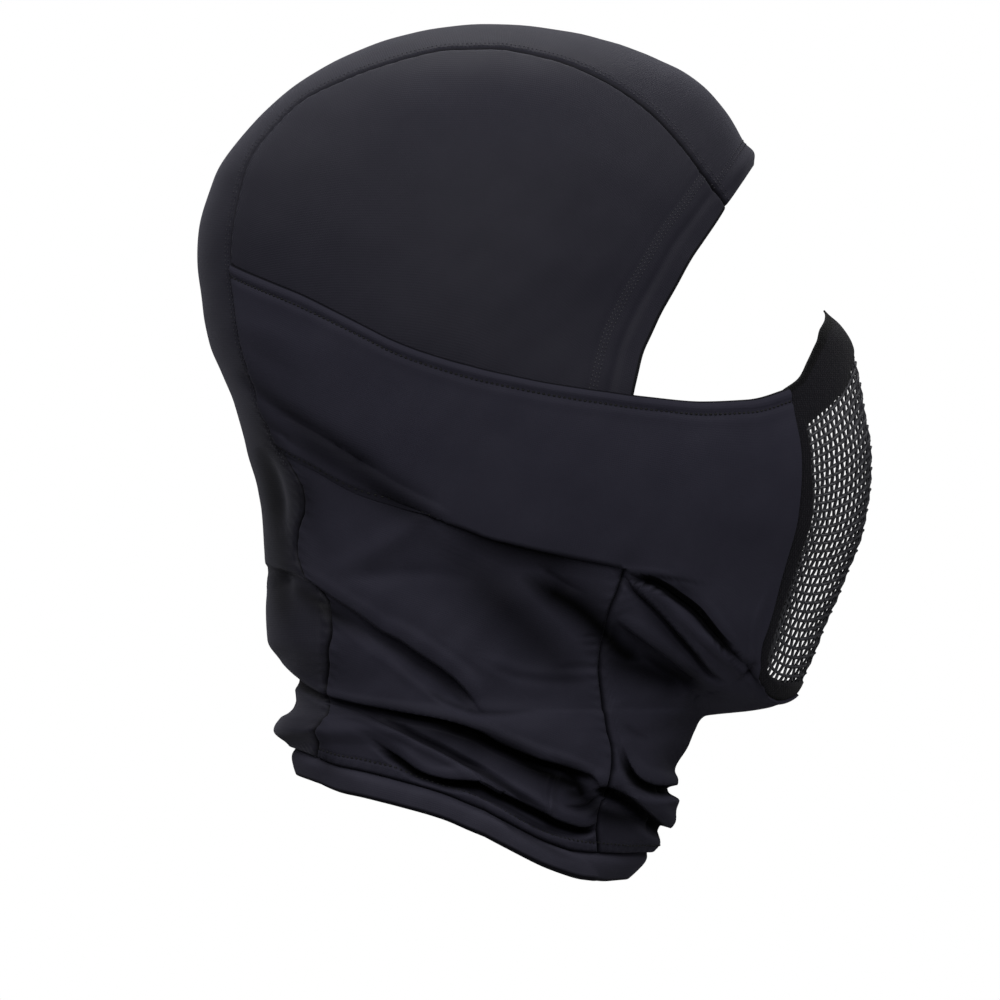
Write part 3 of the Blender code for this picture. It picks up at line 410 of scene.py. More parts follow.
def foldProfile(kind, q):  # lift and slide across a fold, q in half widths from its line
    if kind == "ridge":
        return np.exp(-q * q), 0.0 * q
    if kind == "valley":
        return -np.exp(-q * q), 0.0 * q
    if kind == "crease":
        return -np.exp(-np.abs(q) ** 1.2), 0.0 * q
    if kind == "pinch":
        return -(1.0 - 0.9 * q * q) * np.exp(-0.9 * q * q), 0.0 * q
    if kind in ("dim", "shadow"):
        return 0.0 * q, 0.0 * q
    if kind == "slit":
        slot = smoothStep(q, 0.02, 0.30) * (1.0 - smoothStep(q, 1.5, 2.4))
        lip = 0.16 * np.exp(-(((q + 0.7) / 0.45) ** 2))
        return lip - 1.3 * slot, 0.10 * np.exp(-(((q + 0.3) / 0.4) ** 2))
    slot = smoothStep(q, -0.65, 0.05) * (1.0 - smoothStep(q, 0.9, 2.6 if kind == "roll" else 3.4))
    return 0.50 * np.exp(-(((q + 1.3) / 0.85) ** 2)) - 1.5 * slot, 0.45 * np.exp(-(((q + 0.8) / 0.55) ** 2))


def foldShade(kind, q):  # the painted shade of a fold, darkening its colour, on the same measure
    if kind in ("roll", "sag"):
        most = 1.0 if kind == "roll" else 0.45
        return most * smoothStep(q, -0.35, 0.15) * (1.0 - smoothStep(q, 1.0, 2.0))
    if kind == "slit":
        return smoothStep(q, 0.05, 0.20) * (1.0 - smoothStep(q, 1.6, 2.1))
    soft = np.exp(-np.abs(q) ** 1.7)
    if kind == "shadow":
        return smoothStep(q, -0.02, 0.10) * soft
    return {"crease": 0.75, "pinch": 0.5, "dim": 1.0}.get(kind, 0.0) * soft


def drawFold(row):  # the fold's line as close points, with its strength and direction
    line = np.array(row[3], float)
    across, down = line[:, 0] * hood["depth"], line[:, 1] * hood["height"]
    run = np.concatenate([[0.0], np.cumsum(np.hypot(np.diff(across), np.diff(down)))])
    fine = np.linspace(0.0, run[-1], 10 * len(line))
    across, down, strength = (smoothCurve(run, values, fine) for values in (across, down, line[:, 2]))
    wayAcross, wayDown = np.gradient(across), np.gradient(down)
    size = np.hypot(wayAcross, wayDown)
    return across, down, strength, wayAcross / size, wayDown / size


foldLook = {"reach": 3.2, "endFade": 1.2, "narrowest": 0.55, "fullShade": 0.0022}
drawnFolds = [row[:3] + drawFold(row) for row in napeFolds + neckFolds + collarFolds + chinFolds + bandFolds]


def foldShift(across, down):  # lift off the plain form, slide across and down it, and painted shade
    shape = across.shape
    across, down = across.ravel(), down.ravel()
    lift, slideAcross, slideDown, shade = np.zeros((4, across.size))
    for kind, half, height, lineAcross, lineDown, strength, wayAcross, wayDown in drawnFolds:
        reach = foldLook["reach"] * half
        near = np.flatnonzero((across > lineAcross.min() - reach) & (across < lineAcross.max() + reach)
                              & (down > lineDown.min() - reach) & (down < lineDown.max() + reach))
        if near.size == 0:
            continue
        offAcross = across[near, None] - lineAcross[None]
        offDown = down[near, None] - lineDown[None]
        k = np.argmin(offAcross**2 + offDown**2, axis=1)
        row = np.arange(near.size)
        offAcross, offDown = offAcross[row, k], offDown[row, k]
        off = offDown * wayAcross[k] - offAcross * wayDown[k]
        past = offAcross * wayAcross[k] + offDown * wayDown[k]
        share = strength[k] * height * np.exp(-((past / (foldLook["endFade"] * half)) ** 2))
        q = off / (half * (foldLook["narrowest"] + (1 - foldLook["narrowest"]) * strength[k]))
        up, over = foldProfile(kind, q)
        lift[near] += share * up
        slideAcross[near] -= share * over * wayDown[k]
        slideDown[near] += share * over * wayAcross[k]
        # painted shade in the fold's colour
        dark = np.minimum(1.0, share / foldLook["fullShade"]) * foldShade(kind, q)
        shade[near] = np.maximum(shade[near], dark)
    return [part.reshape(shape) for part in (lift, slideAcross, slideDown, shade)]


slackness = {  # each wave has a length, a turn and a shift
    "tight": 0.00010, "loose": 0.00022, "from": 0.58, "to": 0.78, "bend": 1.3, "evenOut": 2.2,
    "waves": ((0.031, 0.5, 0.3), (0.023, 1.1, 1.9), (0.017, -0.4, 4.0), (0.012, 0.8, 2.6)),
}


def softWaves(across, down):  # slight slackness all over, more of it in the collar
    loose = smoothStep(down / hood["height"], slackness["from"], slackness["to"])
    waves = 0.0 * across
    for length, turn, shift in slackness["waves"]:
        way = across * math.sin(turn) + down * math.cos(turn)
        bend = slackness["bend"] * np.sin(across / length)
        waves = waves + np.sin(2 * math.pi * way / length + shift + bend)
    return (slackness["tight"] + slackness["loose"] * loose) * waves / slackness["evenOut"]


def clothPoint(angle, drop):
    across, down = reachAt(angle, drop) * hood["depth"], drop * hood["height"]
    lift, slideAcross, slideDown, shade = foldShift(across, down)
    lift = lift + softWaves(across, down)
    out = outwardOf(plainPoint, angle, drop)
    sideways = smoothStep(np.abs(out[..., :1]), 0.25, 0.60)  # on the sides a fold rises straight to the side
    rise = out * np.concatenate([np.ones_like(sideways), 1 - sideways, 1 - sideways], axis=-1)
    rise = rise / np.linalg.norm(rise, axis=-1, keepdims=True)
    slide = np.stack([0.0 * lift, -slideAcross, -slideDown], axis=-1)
    climb = (slide * out).sum(axis=-1) / (rise * out).sum(axis=-1)
    return plainPoint(angle, drop) + rise * (lift - climb)[..., None] + slide


def placesOn(name, shares):  # angle and drop at shares of a line's length
    table = np.array(seamLines[name], float)
    angle = angleAt(table[:, 0], table[:, 1])
    steps = np.linalg.norm(np.diff(plainPoint(angle, table[:, 1]), axis=0), axis=1)
    length = np.concatenate([[0.0], np.cumsum(steps)])
    length = length / length[-1]
    columns = [smoothCurve(length, angle, shares)]
    columns += [smoothCurve(length, table[:, k], shares) for k in range(1, table.shape[1])]
    return np.stack(columns, axis=-1)


def chainOf(*lines):
    return np.concatenate([lines[0]] + [line[1:] for line in lines[1:]])


def evenShares(count):
    return np.linspace(0.0, 1.0, count + 1)


def crowdedShares(count, crowd=0.6):  # closer steps at both ends, where the seams are
    even = evenShares(count)
    return even - crowd * np.sin(2 * math.pi * even) / (2 * math.pi)


seamSteps = {"crown": (130, 0.75), "back": (110, 0.60), "nape": (220, 0.10)}  # alike on both sides of a seam


def runLength(points, axis):  # distance along the rows or columns of a grid of points
    steps = np.linalg.norm(np.diff(points, axis=axis), axis=-1)
    start = np.zeros_like(np.take(steps, [0], axis=axis))
    return np.concatenate([start, np.cumsum(steps, axis=axis)], axis=axis)


def lengthShares(line):
    run = runLength(plainPoint(line[:, 0], line[:, 1])[None], 1)[0]
    return run / run[-1]


def fillPatch(top, bottom, left, right, s, t):  # places that fill four edges
    s = s[None, :, None]
    t = t[:, None, None]
    level = (1 - t) * top[None] + t * bottom[None]
    upright = (1 - s) * left[:, None] + s * right[:, None]
    corner = (1 - t) * ((1 - s) * top[0] + s * top[-1]) + t * ((1 - s) * bottom[0] + s * bottom[-1])
    return level + upright - corner


def otherSide(patch):
    return patch * np.array([-1.0, 1.0])


def withOtherSide(line):  # a line that ends at the middle, carried on over the other side
    return chainOf(line, otherSide(line)[::-1])


def gridNormals(points, guide):  # square to the cloth as it lies, on the side of the guide
    out = np.cross(np.gradient(points, axis=0), np.gradient(points, axis=1))
    out = out / np.maximum(np.linalg.norm(out, axis=-1, keepdims=True), 1e-12)
    return out if (out * guide).sum() > 0 else -out


def bell(value, middle, width):  # 1 at the middle and down to nothing on both sides
    return np.exp(-(((value - middle) / width) ** 2))


def seamSink(away):
    return hood["seamDip"] * np.exp(-((away / hood["seamWidth"]) ** 1.3))


def raisePanel(panel, lift):
    panel["points"] = panel["points"] + panel["out"] * lift[..., None]


def layPanel(patch, seams=()):  # a panel of cloth: its points, directions and the distance from each edge
    angle, drop = patch[..., 0], patch[..., 1]
    points = clothPoint(angle, drop)
    plainOut = outwardOf(plainPoint, angle, drop)
    out = gridNormals(points, plainOut)
    across, down = runLength(points, 1), runLength(points, 0)
    away = {"left": across, "right": across[:, -1:] - across, "top": down, "bottom": down[-1:] - down}
    lift, dip, shade = np.zeros((3,) + angle.shape)
    for edge in seams:
        along = down if edge in ("left", "right") else across
        pucker = np.sin(2 * math.pi * along / hood["puckerPitch"] + 1.9 * np.sin(along / 0.0087))
        near = bell(away[edge], 0.0, hood["puckerTo"]) - bell(away[edge], 0.0, hood["puckerFrom"])
        lift = lift + hood["pucker"] * pucker * near
        dip = np.maximum(dip, seamSink(away[edge]))
        # painted shade along each seam
        shade = np.maximum(shade, hood["seamShade"] * bell(away[edge], 0.0, hood["seamWidth"]))
    points = points + out * lift[..., None] - plainOut * dip[..., None]
    return {"points": points, "out": out, "away": away, "shade": shade}


def fromEdge(panel, edge):  # rows of points, directions and distances, counted from one edge
    axis = 0 if edge in ("top", "bottom") else 1
    rows = [np.moveaxis(part, axis, 0) for part in (panel["points"], panel["out"], panel["away"][edge])]
    return [row[::-1] for row in rows] if edge in ("bottom", "right") else rows


def unitWays(ways):
    return ways / np.linalg.norm(ways, axis=-1, keepdims=True)


def atDistance(points, out, away, distance):  # places and directions at a distance from the first row
    column = np.arange(points.shape[1])
    where = np.array([np.interp(distance, away[:, i], np.arange(len(away))) for i in column])
    low = np.minimum(where.astype(int), len(away) - 2)
    part = (where - low)[:, None]
    place = points[low, column] * (1 - part) + points[low + 1, column] * part
    return place, out[low, column] * (1 - part) + out[low + 1, column] * part


def turnOver(start, beyond, out, radius, steps):  # rows that go half round from a row's end
    bends = [math.pi * k / steps for k in range(1, steps + 1)]
    return [start + beyond * radius * math.sin(bend) - out * radius * (1 - math.cos(bend)) for bend in bends]


def rolledEdge(panel, edge, turnIn):  # rows that turn an edge under, as a hem
    points, out, away = fromEdge(panel, edge)
    rows = turnOver(points[0], unitWays(points[0] - points[1]), out[0], hood["roll"], hood["rollSteps"])
    for share in (0.12, 0.4, 0.7, 1.0):
        place, normal = atDistance(points, out, away, share * turnIn)
        rows.append(place - normal * (2 * hood["roll"] + hood["rollGap"]))
    points = np.concatenate([np.array(rows)[::-1], points])
    points = points[::-1] if edge in ("bottom", "right") else points
    return np.moveaxis(points, 0, 0 if edge in ("top", "bottom") else 1)


def selectOnly(*pieces):
    bpy.ops.object.select_all(action="DESELECT")
    for piece in pieces:
        piece.select_set(True)
    bpy.context.view_layer.objects.active = pieces[0]


def paintedEdgeShade(panel, points, edge, count=10):  # painted shade: the turned rows at one edge and the seams are darkened into dark lines
    dark = np.zeros(points.shape[:2])
    height, width = panel["shade"].shape
    dark[-height:, :width] = panel["shade"]
    rows = dark if edge in ("top", "bottom") else dark.T
    rows[slice(None, count) if edge in ("top", "left") else slice(-count, None)] = hood["seamShade"]
    return dark


def nameIt(piece, name):
    piece.name = name
    piece.data.name = name
    return piece


def addGridPiece(name, points, dark=0.0):  # a grid primitive, its vertices moved onto the cloth's points
    rows, columns = points.shape[0] - 1, points.shape[1] - 1
    bpy.ops.object.select_all(action="DESELECT")
    bpy.ops.mesh.primitive_grid_add(x_subdivisions=columns, y_subdivisions=rows, size=2)
    piece = nameIt(bpy.context.active_object, name)
    mesh = piece.data
    flat = np.empty(len(mesh.vertices) * 3)
    mesh.vertices.foreach_get("co", flat)
    flat = flat.reshape(-1, 3)
    i = np.rint((flat[:, 0] + 1) / 2 * columns).astype(int)
    j = np.rint((1 - flat[:, 1]) / 2 * rows).astype(int)
    mesh.vertices.foreach_set("co", points[j, i].ravel())
    across = runLength(points, 1).mean(axis=0)
    down = runLength(points, 0).mean(axis=1)
    corner = np.empty(len(mesh.loops), dtype=int)
    mesh.loops.foreach_get("vertex_index", corner)
    uv = np.stack([across[i[corner]], down[j[corner]]], axis=-1)
    mesh.uv_layers[0].data.foreach_set("uv", uv.ravel())
    # painted shade from the folds, at the finished points' places, kept in the shade attribute
    shade = foldShift(hood["topReach"] * hood["depth"] - points[..., 1], hood["top"] - points[..., 2])[3]
    shade = np.maximum(shade, dark)
    mesh.attributes.new("shade", "FLOAT", "POINT").data.foreach_set("value", shade[j, i])
    mesh.update()
    return piece


def faceOutward(piece, middle=hood["middle"]):  # flips the sheet if its faces look inward
    mesh = piece.data
    normals = np.empty(len(mesh.polygons) * 3)
    centres = np.empty(len(mesh.polygons) * 3)
    mesh.polygons.foreach_get("normal", normals)
    mesh.polygons.foreach_get("center", centres)
    away = centres.reshape(-1, 3) - np.array(middle)
    if (normals.reshape(-1, 3) * away).sum() < 0:
        mesh.flip_normals()


def mergeDoubles(piece, tidyNormals=False):
    selectOnly(piece)
    bpy.ops.object.mode_set(mode="EDIT")
    bpy.ops.mesh.select_all(action="SELECT")
    bpy.ops.mesh.remove_doubles(threshold=0.00002)
    if tidyNormals:
        bpy.ops.mesh.normals_make_consistent(inside=False)
    bpy.ops.object.mode_set(mode="OBJECT")


def joinPieces(name, pieces):
    selectOnly(*pieces)
    bpy.ops.object.join()
    joined = nameIt(bpy.context.active_object, name)
    mergeDoubles(joined, True)
    return joined


def giveWall(piece, thickness):  # a wall grown inward, as a solid sheet of cloth
    selectOnly(piece)
    wall = piece.modifiers.new("wall", "SOLIDIFY")
    wall.thickness = thickness
    wall.offset = -1.0
    bpy.ops.object.modifier_apply(modifier=wall.name)
    bpy.ops.object.shade_smooth_by_angle(angle=math.radians(60))


def dress(piece, material, slot, *nodes):
    piece.data.materials.clear()
    piece.data.materials.append(material)
    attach(piece, "root")
    if nodes:
        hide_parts(*nodes)


def finishCloth(piece, material, slot, held, *nodes):
    faceOutward(piece)
    giveWall(piece, hood["fabric"])
    dress(piece, material, slot, *nodes)


# Finishes
def onScreen(*rgb):  # a colour as it looks on screen, from 0 to 255
    return tuple(((c / 255 + 0.055) / 1.055) ** 2.4 if c > 10 else c / 255 / 12.92 for c in rgb) + (1.0,)


def addNode(tree, kind, **settings):
    node = tree.nodes.new(kind)
    for key, value in settings.items():
        setattr(node, key, value)
    return node


def setInputs(node, **values):
    for key, value in values.items():
        node.inputs[key.replace("_", " ")].default_value = value
    return node


def newMaterial(name):
    made = bpy.data.materials.new(name)
    made.use_nodes = True
    return made, made.node_tree, made.node_tree.nodes["Principled BSDF"]


def mixTones(tree, first, second, factor):  # from one colour to the other by a factor
    tone = addNode(tree, "ShaderNodeMix", data_type="RGBA")
    tone.inputs["A"].default_value = onScreen(*first)
    tone.inputs["B"].default_value = onScreen(*second)
    tree.links.new(factor, tone.inputs["Factor"])
    return tone.outputs["Result"]


def paintShade(tree, tone, darkest):  # painted shade: the shade attribute takes the colour down to the darkest
    shade = addNode(tree, "ShaderNodeAttribute", attribute_name="shade")
    deep = addNode(tree, "ShaderNodeMix", data_type="RGBA")
    deep.inputs["B"].default_value = onScreen(*darkest)
    tree.links.new(tone, deep.inputs["A"])
    tree.links.new(shade.outputs["Fac"], deep.inputs["Factor"])
    return deep.outputs["Result"]


def addBump(tree, shader, height, strength, distance):
    bumps = setInputs(addNode(tree, "ShaderNodeBump"), Strength=strength, Distance=distance)
    tree.links.new(height, bumps.inputs["Height"])
    tree.links.new(bumps.outputs["Normal"], shader.inputs["Normal"])


def addMultiplied(tree, first, factor, second):  # the first times a factor, and the second
    height = addNode(tree, "ShaderNodeMath", operation="MULTIPLY_ADD")
    height.inputs[1].default_value = factor
    tree.links.new(first, height.inputs[0])
    tree.links.new(second, height.inputs[2])
    return height.outputs["Value"]


def addTexture(tree, kind, coords, **values):  # a texture on the given coordinates
    texture = setInputs(addNode(tree, "ShaderNodeTex" + kind), **values)
    tree.links.new(coords, texture.inputs["Vector"])
    return texture


# the knit's ribs, fuzz and roughness, and the colour of its painted shade
knitLook = {"wale": 0.00062, "course": 0.00080, "relief": 0.30, "depth": 0.00015, "roughness": 0.62,
            "fuzz": 0.6, "paintedShadeColour": (1, 1, 2)}


def knitMaterial(name, colour, darker, sheen=0.04, specular=0.05):  # fine knit ribs on the UV map, in metres
    made, tree, shader = newMaterial(name)
    link = tree.links.new
    setInputs(shader, Roughness=knitLook["roughness"], Sheen_Weight=sheen, Sheen_Roughness=0.4,
              Sheen_Tint=(0.80, 0.80, 0.95, 1.0), Specular_IOR_Level=specular)
    coords = addNode(tree, "ShaderNodeTexCoord").outputs
    place = addNode(tree, "ShaderNodeMapping")
    setInputs(place, Scale=(1 / knitLook["wale"], 1 / knitLook["course"], 1.0))
    link(coords["UV"], place.inputs["Vector"])
    loops = addNode(tree, "ShaderNodeMath", operation="MULTIPLY")
    for k, (way, distortion) in enumerate((("X", 0.5), ("Y", 0.7))):  # wales, then courses
        waves = addTexture(tree, "Wave", place.outputs["Vector"], Scale=0.314, Distortion=distortion)
        waves.bands_direction = way
        link(waves.outputs["Fac"], loops.inputs[k])
    mottle = addTexture(tree, "Noise", coords["Object"], Scale=45.0, Detail=6.0, Roughness=0.62)
    fuzz = addTexture(tree, "Noise", coords["Object"], Scale=1100.0, Detail=3.0)
    amount = setInputs(addNode(tree, "ShaderNodeMapRange"), From_Min=0.3, From_Max=0.7)
    link(mottle.outputs["Fac"], amount.inputs["Value"])
    tone = mixTones(tree, darker, colour, amount.outputs["Result"])
    link(paintShade(tree, tone, knitLook["paintedShadeColour"]), shader.inputs["Base Color"])
    height = addMultiplied(tree, fuzz.outputs["Fac"], knitLook["fuzz"], loops.outputs["Value"])
    addBump(tree, shader, height, knitLook["relief"], knitLook["depth"])
    return made


def tapeMaterial(name, colour, darker):  # a dense twill tape, dotted where the threads cross
    made, tree, shader = newMaterial(name)
    setInputs(shader, Roughness=0.75, Sheen_Weight=0.08, Sheen_Roughness=0.5, Specular_IOR_Level=0.08)
    coords = addNode(tree, "ShaderNodeTexCoord").outputs["Object"]
    dots = addTexture(tree, "Voronoi", coords, Scale=1350.0, Randomness=0.35)
    grain = addTexture(tree, "Noise", coords, Scale=500.0, Detail=4.0)
    amount = setInputs(addNode(tree, "ShaderNodeMapRange"), From_Min=0.05, From_Max=0.55)
    tree.links.new(dots.outputs["Distance"], amount.inputs["Value"])
    tone = mixTones(tree, colour, darker, amount.outputs["Result"])
    # painted shade on the tape takes its colour down to (4, 4, 5)
    tree.links.new(paintShade(tree, tone, (4, 4, 5)), shader.inputs["Base Color"])
    height = addMultiplied(tree, dots.outputs["Distance"], -1.0, grain.outputs["Fac"])
    addBump(tree, shader, height, 0.8, 0.0003)
    return made


def grainMaterial(name, colour, roughness, grain=400.0, relief=0.2, spread=0.1):
    made, tree, shader = newMaterial(name)
    coords = addNode(tree, "ShaderNodeTexCoord").outputs["Object"]
    noise = addTexture(tree, "Noise", coords, Scale=grain, Detail=4.0).outputs["Fac"]
    tone = mixTones(tree, [c * 0.75 for c in colour], colour, noise)
    tree.links.new(tone, shader.inputs["Base Color"])
    rough = addNode(tree, "ShaderNodeMapRange")
    setInputs(rough, To_Min=roughness - spread, To_Max=roughness + spread)
    tree.links.new(noise, rough.inputs["Value"])
    tree.links.new(rough.outputs["Result"], shader.inputs["Roughness"])
    addBump(tree, shader, noise, relief, 0.0001)
    return made


hoodKnit = knitMaterial("hood knit", (43, 42, 53), (38, 37, 48), 0.165, 0.20)
# band and neck knits: lighter partly for lower sheen, partly painted light where the lamps light less
bandKnit = knitMaterial("band knit", (58, 57, 69), (53, 52, 64))
neckKnit = knitMaterial("neck knit", (58, 57, 69), (53, 52, 64))
# painted light: the hem's knit is lighter than the neck's, as the lit hem looks
hemKnitPaintedLight = knitMaterial("hem knit painted lighter", (66, 65, 77), (60, 59, 71))
bindingTape = tapeMaterial("binding tape", (35, 34, 40), (22, 21, 27))
# painted light: the black wire's colour is a grey that stands for the highlights on its paint
blackWirePaintedLight = grainMaterial("black wire painted lighter", (72, 72, 78), 0.38, grain=600.0)
# dark thread, also the specks of painted shade in the needle holes
threadAndHoleShade = grainMaterial("sewing thread and needle hole shade", (12, 12, 16), 0.7, grain=2500.0)
paleThread = grainMaterial("pale thread", (62, 61, 70), 0.6, grain=2500.0)


# Sewing: one stitch, copied along lines on the cloth
stitchProud = 0.00010


def makeStitch(length, width):  # a short thread, thick in the middle
    bpy.ops.object.select_all(action="DESELECT")
    bpy.ops.mesh.primitive_uv_sphere_add(segments=6, ring_count=5, radius=0.5)
    stitch = bpy.context.active_object
    bpy.ops.object.mode_set(mode="EDIT")
    bpy.ops.mesh.select_all(action="SELECT")
    bpy.ops.transform.rotate(value=math.pi / 2, orient_axis="Y", center_override=(0.0, 0.0, 0.0))
    bpy.ops.transform.resize(value=(length, width, width * 0.6))
    bpy.ops.object.mode_set(mode="OBJECT")
    bpy.ops.object.shade_smooth()
    return stitch


def lineAt(panel, edge, distance, first=0.0, last=1.0):  # a line on the cloth at a distance from one edge
    line, normal = atDistance(*fromEdge(panel, edge), distance)
    start, stop = int(first * (len(line) - 1)), int(last * (len(line) - 1)) + 1
    return line[start:stop], normal[start:stop]


def along(values, run, at):
    return np.stack([np.interp(at, run, values[:, k]) for k in range(3)], axis=-1)


def sewRows(name, rows, material, slot):  # rows of line, normal, pitch, stitch length and width
    copies = []
    for line, normals, pitch, length, width in rows:
        stitch = makeStitch(length, width)
        run = runLength(line[None], 1)[0]
        count = max(2, round(run[-1] / pitch))
        places = (np.arange(count) + 0.5) * run[-1] / count
        ways = along(line, run, places + 0.0003) - along(line, run, places - 0.0003)
        for spot, rise, ahead in zip(along(line, run, places), along(normals, run, places), ways):
            rise = Vector(rise).normalized()
            ahead = Vector(ahead).normalized()
            side = rise.cross(ahead).normalized()
            rise = ahead.cross(side)
            turn = Matrix((ahead, side, rise)).transposed().to_4x4()
            copy = stitch.copy()
            copy.data = stitch.data.copy()
            copy.data.transform(Matrix.Translation(Vector(spot) + rise * stitchProud) @ turn)
            bpy.context.scene.collection.objects.link(copy)
            copies.append(copy)
        bpy.data.objects.remove(stitch)
    selectOnly(*copies)
    bpy.ops.object.join()
    piece = nameIt(bpy.context.active_object, name)
    dress(piece, material, slot)
    print(name, "stitches", len(copies), "faces", len(piece.data.polygons))
    return piece


print("hood: crown strip")
stripLook = {"across": 80, "brow": 0.0085, "puff": 0.0018, "puffAt": 0.0036, "puffWidth": 0.0030}


def makeCrownStrip():
    seam = chainOf(*[placesOn(name, crowdedShares(*seamSteps[name])) for name in seamSteps])
    seamReach = reachAt(seam[:, 0], seam[:, 1])
    lineDrop = seam[:, 2] ** 2
    lineAngle = np.where(seam[:, 2] >= 0, 0.0, math.pi)
    lineReach = reachAt(lineAngle, lineDrop)
    columns = []
    half = stripLook["across"] // 2
    for k in range(-half, half + 1):
        share = math.sin(math.pi / 2 * k / half)  # closer columns by the seams
        drop = lineDrop + (seam[:, 1] - lineDrop) * share**2
        reach = lineReach + (seamReach - lineReach) * share**2
        angle = lineAngle if k == 0 else angleAt(reach, drop)
        angle = seam[:, 0] if abs(k) == half else angle
        columns.append(np.stack([angle * (-1.0 if k < 0 else 1.0), drop], axis=-1))
    panel = layPanel(np.stack(columns, axis=1), seams=("left", "right", "bottom"))
    fromSeam = np.minimum(panel["away"]["left"], panel["away"]["right"])
    puff = bell(panel["away"]["top"], stripLook["puffAt"], stripLook["puffWidth"])
    raisePanel(panel, stripLook["puff"] * puff * smoothStep(fromSeam, 0.002, 0.020))
    points = rolledEdge(panel, "top", stripLook["brow"])
    piece = addGridPiece("crown_strip_cloth", points, paintedEdgeShade(panel, points, "top"))
    finishCloth(piece, hoodKnit, "hood_fabric", "stretched", "crown_strip")
    return panel


stripPanel = makeCrownStrip()

print("hood: side panels")
sideLook = {"tuck": 0.0035, "hem": 0.0152, "crease": 0.0078, "groove": 0.00060, "under": 0.0012,
            "faceShare": 0.973, "darkColumns": 12}


def tucked(line, distance):
    raised = line.copy()
    raised[:, 1] -= distance / hood["height"]
    return raised


def pressGroove(panel, edge, distance, depth, width=0.0006):  # the cloth is drawn in along a row of stitches
    raisePanel(panel, -depth * bell(panel["away"][edge], distance, width))


def makeSidePanel(name, mirror, node):
    s, t = crowdedShares(*seamSteps["crown"]), crowdedShares(*seamSteps["back"])
    top = placesOn("crown", s)[::-1, :2]
    left = placesOn("back", t)[:, :2]
    foot = tucked(placesOn("bandFoot", s), sideLook["tuck"])
    right = placesOn("faceEdge", sideLook["faceShare"] * t)  # it stops short, level with the tucked foot
    right = right + (foot[-1] - right[-1]) * t[:, None] ** 3
    foot[0] = left[-1]
    patch = fillPatch(top, foot, left, right, s, t)
    panel = layPanel(otherSide(patch) if mirror else patch, seams=("top", "left"))
    pressGroove(panel, "right", sideLook["crease"], sideLook["groove"], 0.0016)
    pressGroove(panel, "right", sideLook["hem"] + 0.0004, 0.4 * sideLook["groove"], 0.0012)
    under = sideLook["under"] * (1.0 - smoothStep(panel["away"]["bottom"], 0.018, 0.030))
    raisePanel(panel, -under * smoothStep(panel["away"]["left"], 0.0, 0.005))
    points = rolledEdge(panel, "right", sideLook["hem"])
    piece = addGridPiece(name, points, paintedEdgeShade(panel, points, "right", sideLook["darkColumns"]))
    finishCloth(piece, hoodKnit, "hood_fabric", "stretched", node)
    return panel


rightSide = makeSidePanel("side_cloth_right", False, "side_panel_right")
leftSide = makeSidePanel("side_cloth_left", True, "side_panel_left")

print("hood: face panel")
faceLook = {"bandColumns": 90, "foldColumns": 80, "chinColumns": 33, "bandRows": 40, "neckRows": 124,
            "proud": 0.0018, "hem": 0.0038, "puff": 0.0006, "sewn": 0.0026, "groove": 0.00050,
            "corner": 0.0060, "sewnFrom": 0.36, "sewnTo": 0.56, "turned": 0.0026, "turnedShade": 0.8}


def middleLine(first, last, steps):
    drop = np.linspace(first, last, 600)
    run = runLength(plainPoint(0.0 * drop, drop)[None], 1)[0]
    where = np.interp(np.linspace(0.0, run[-1], steps + 1), run, drop)
    return np.stack([0.0 * where, where], axis=-1)


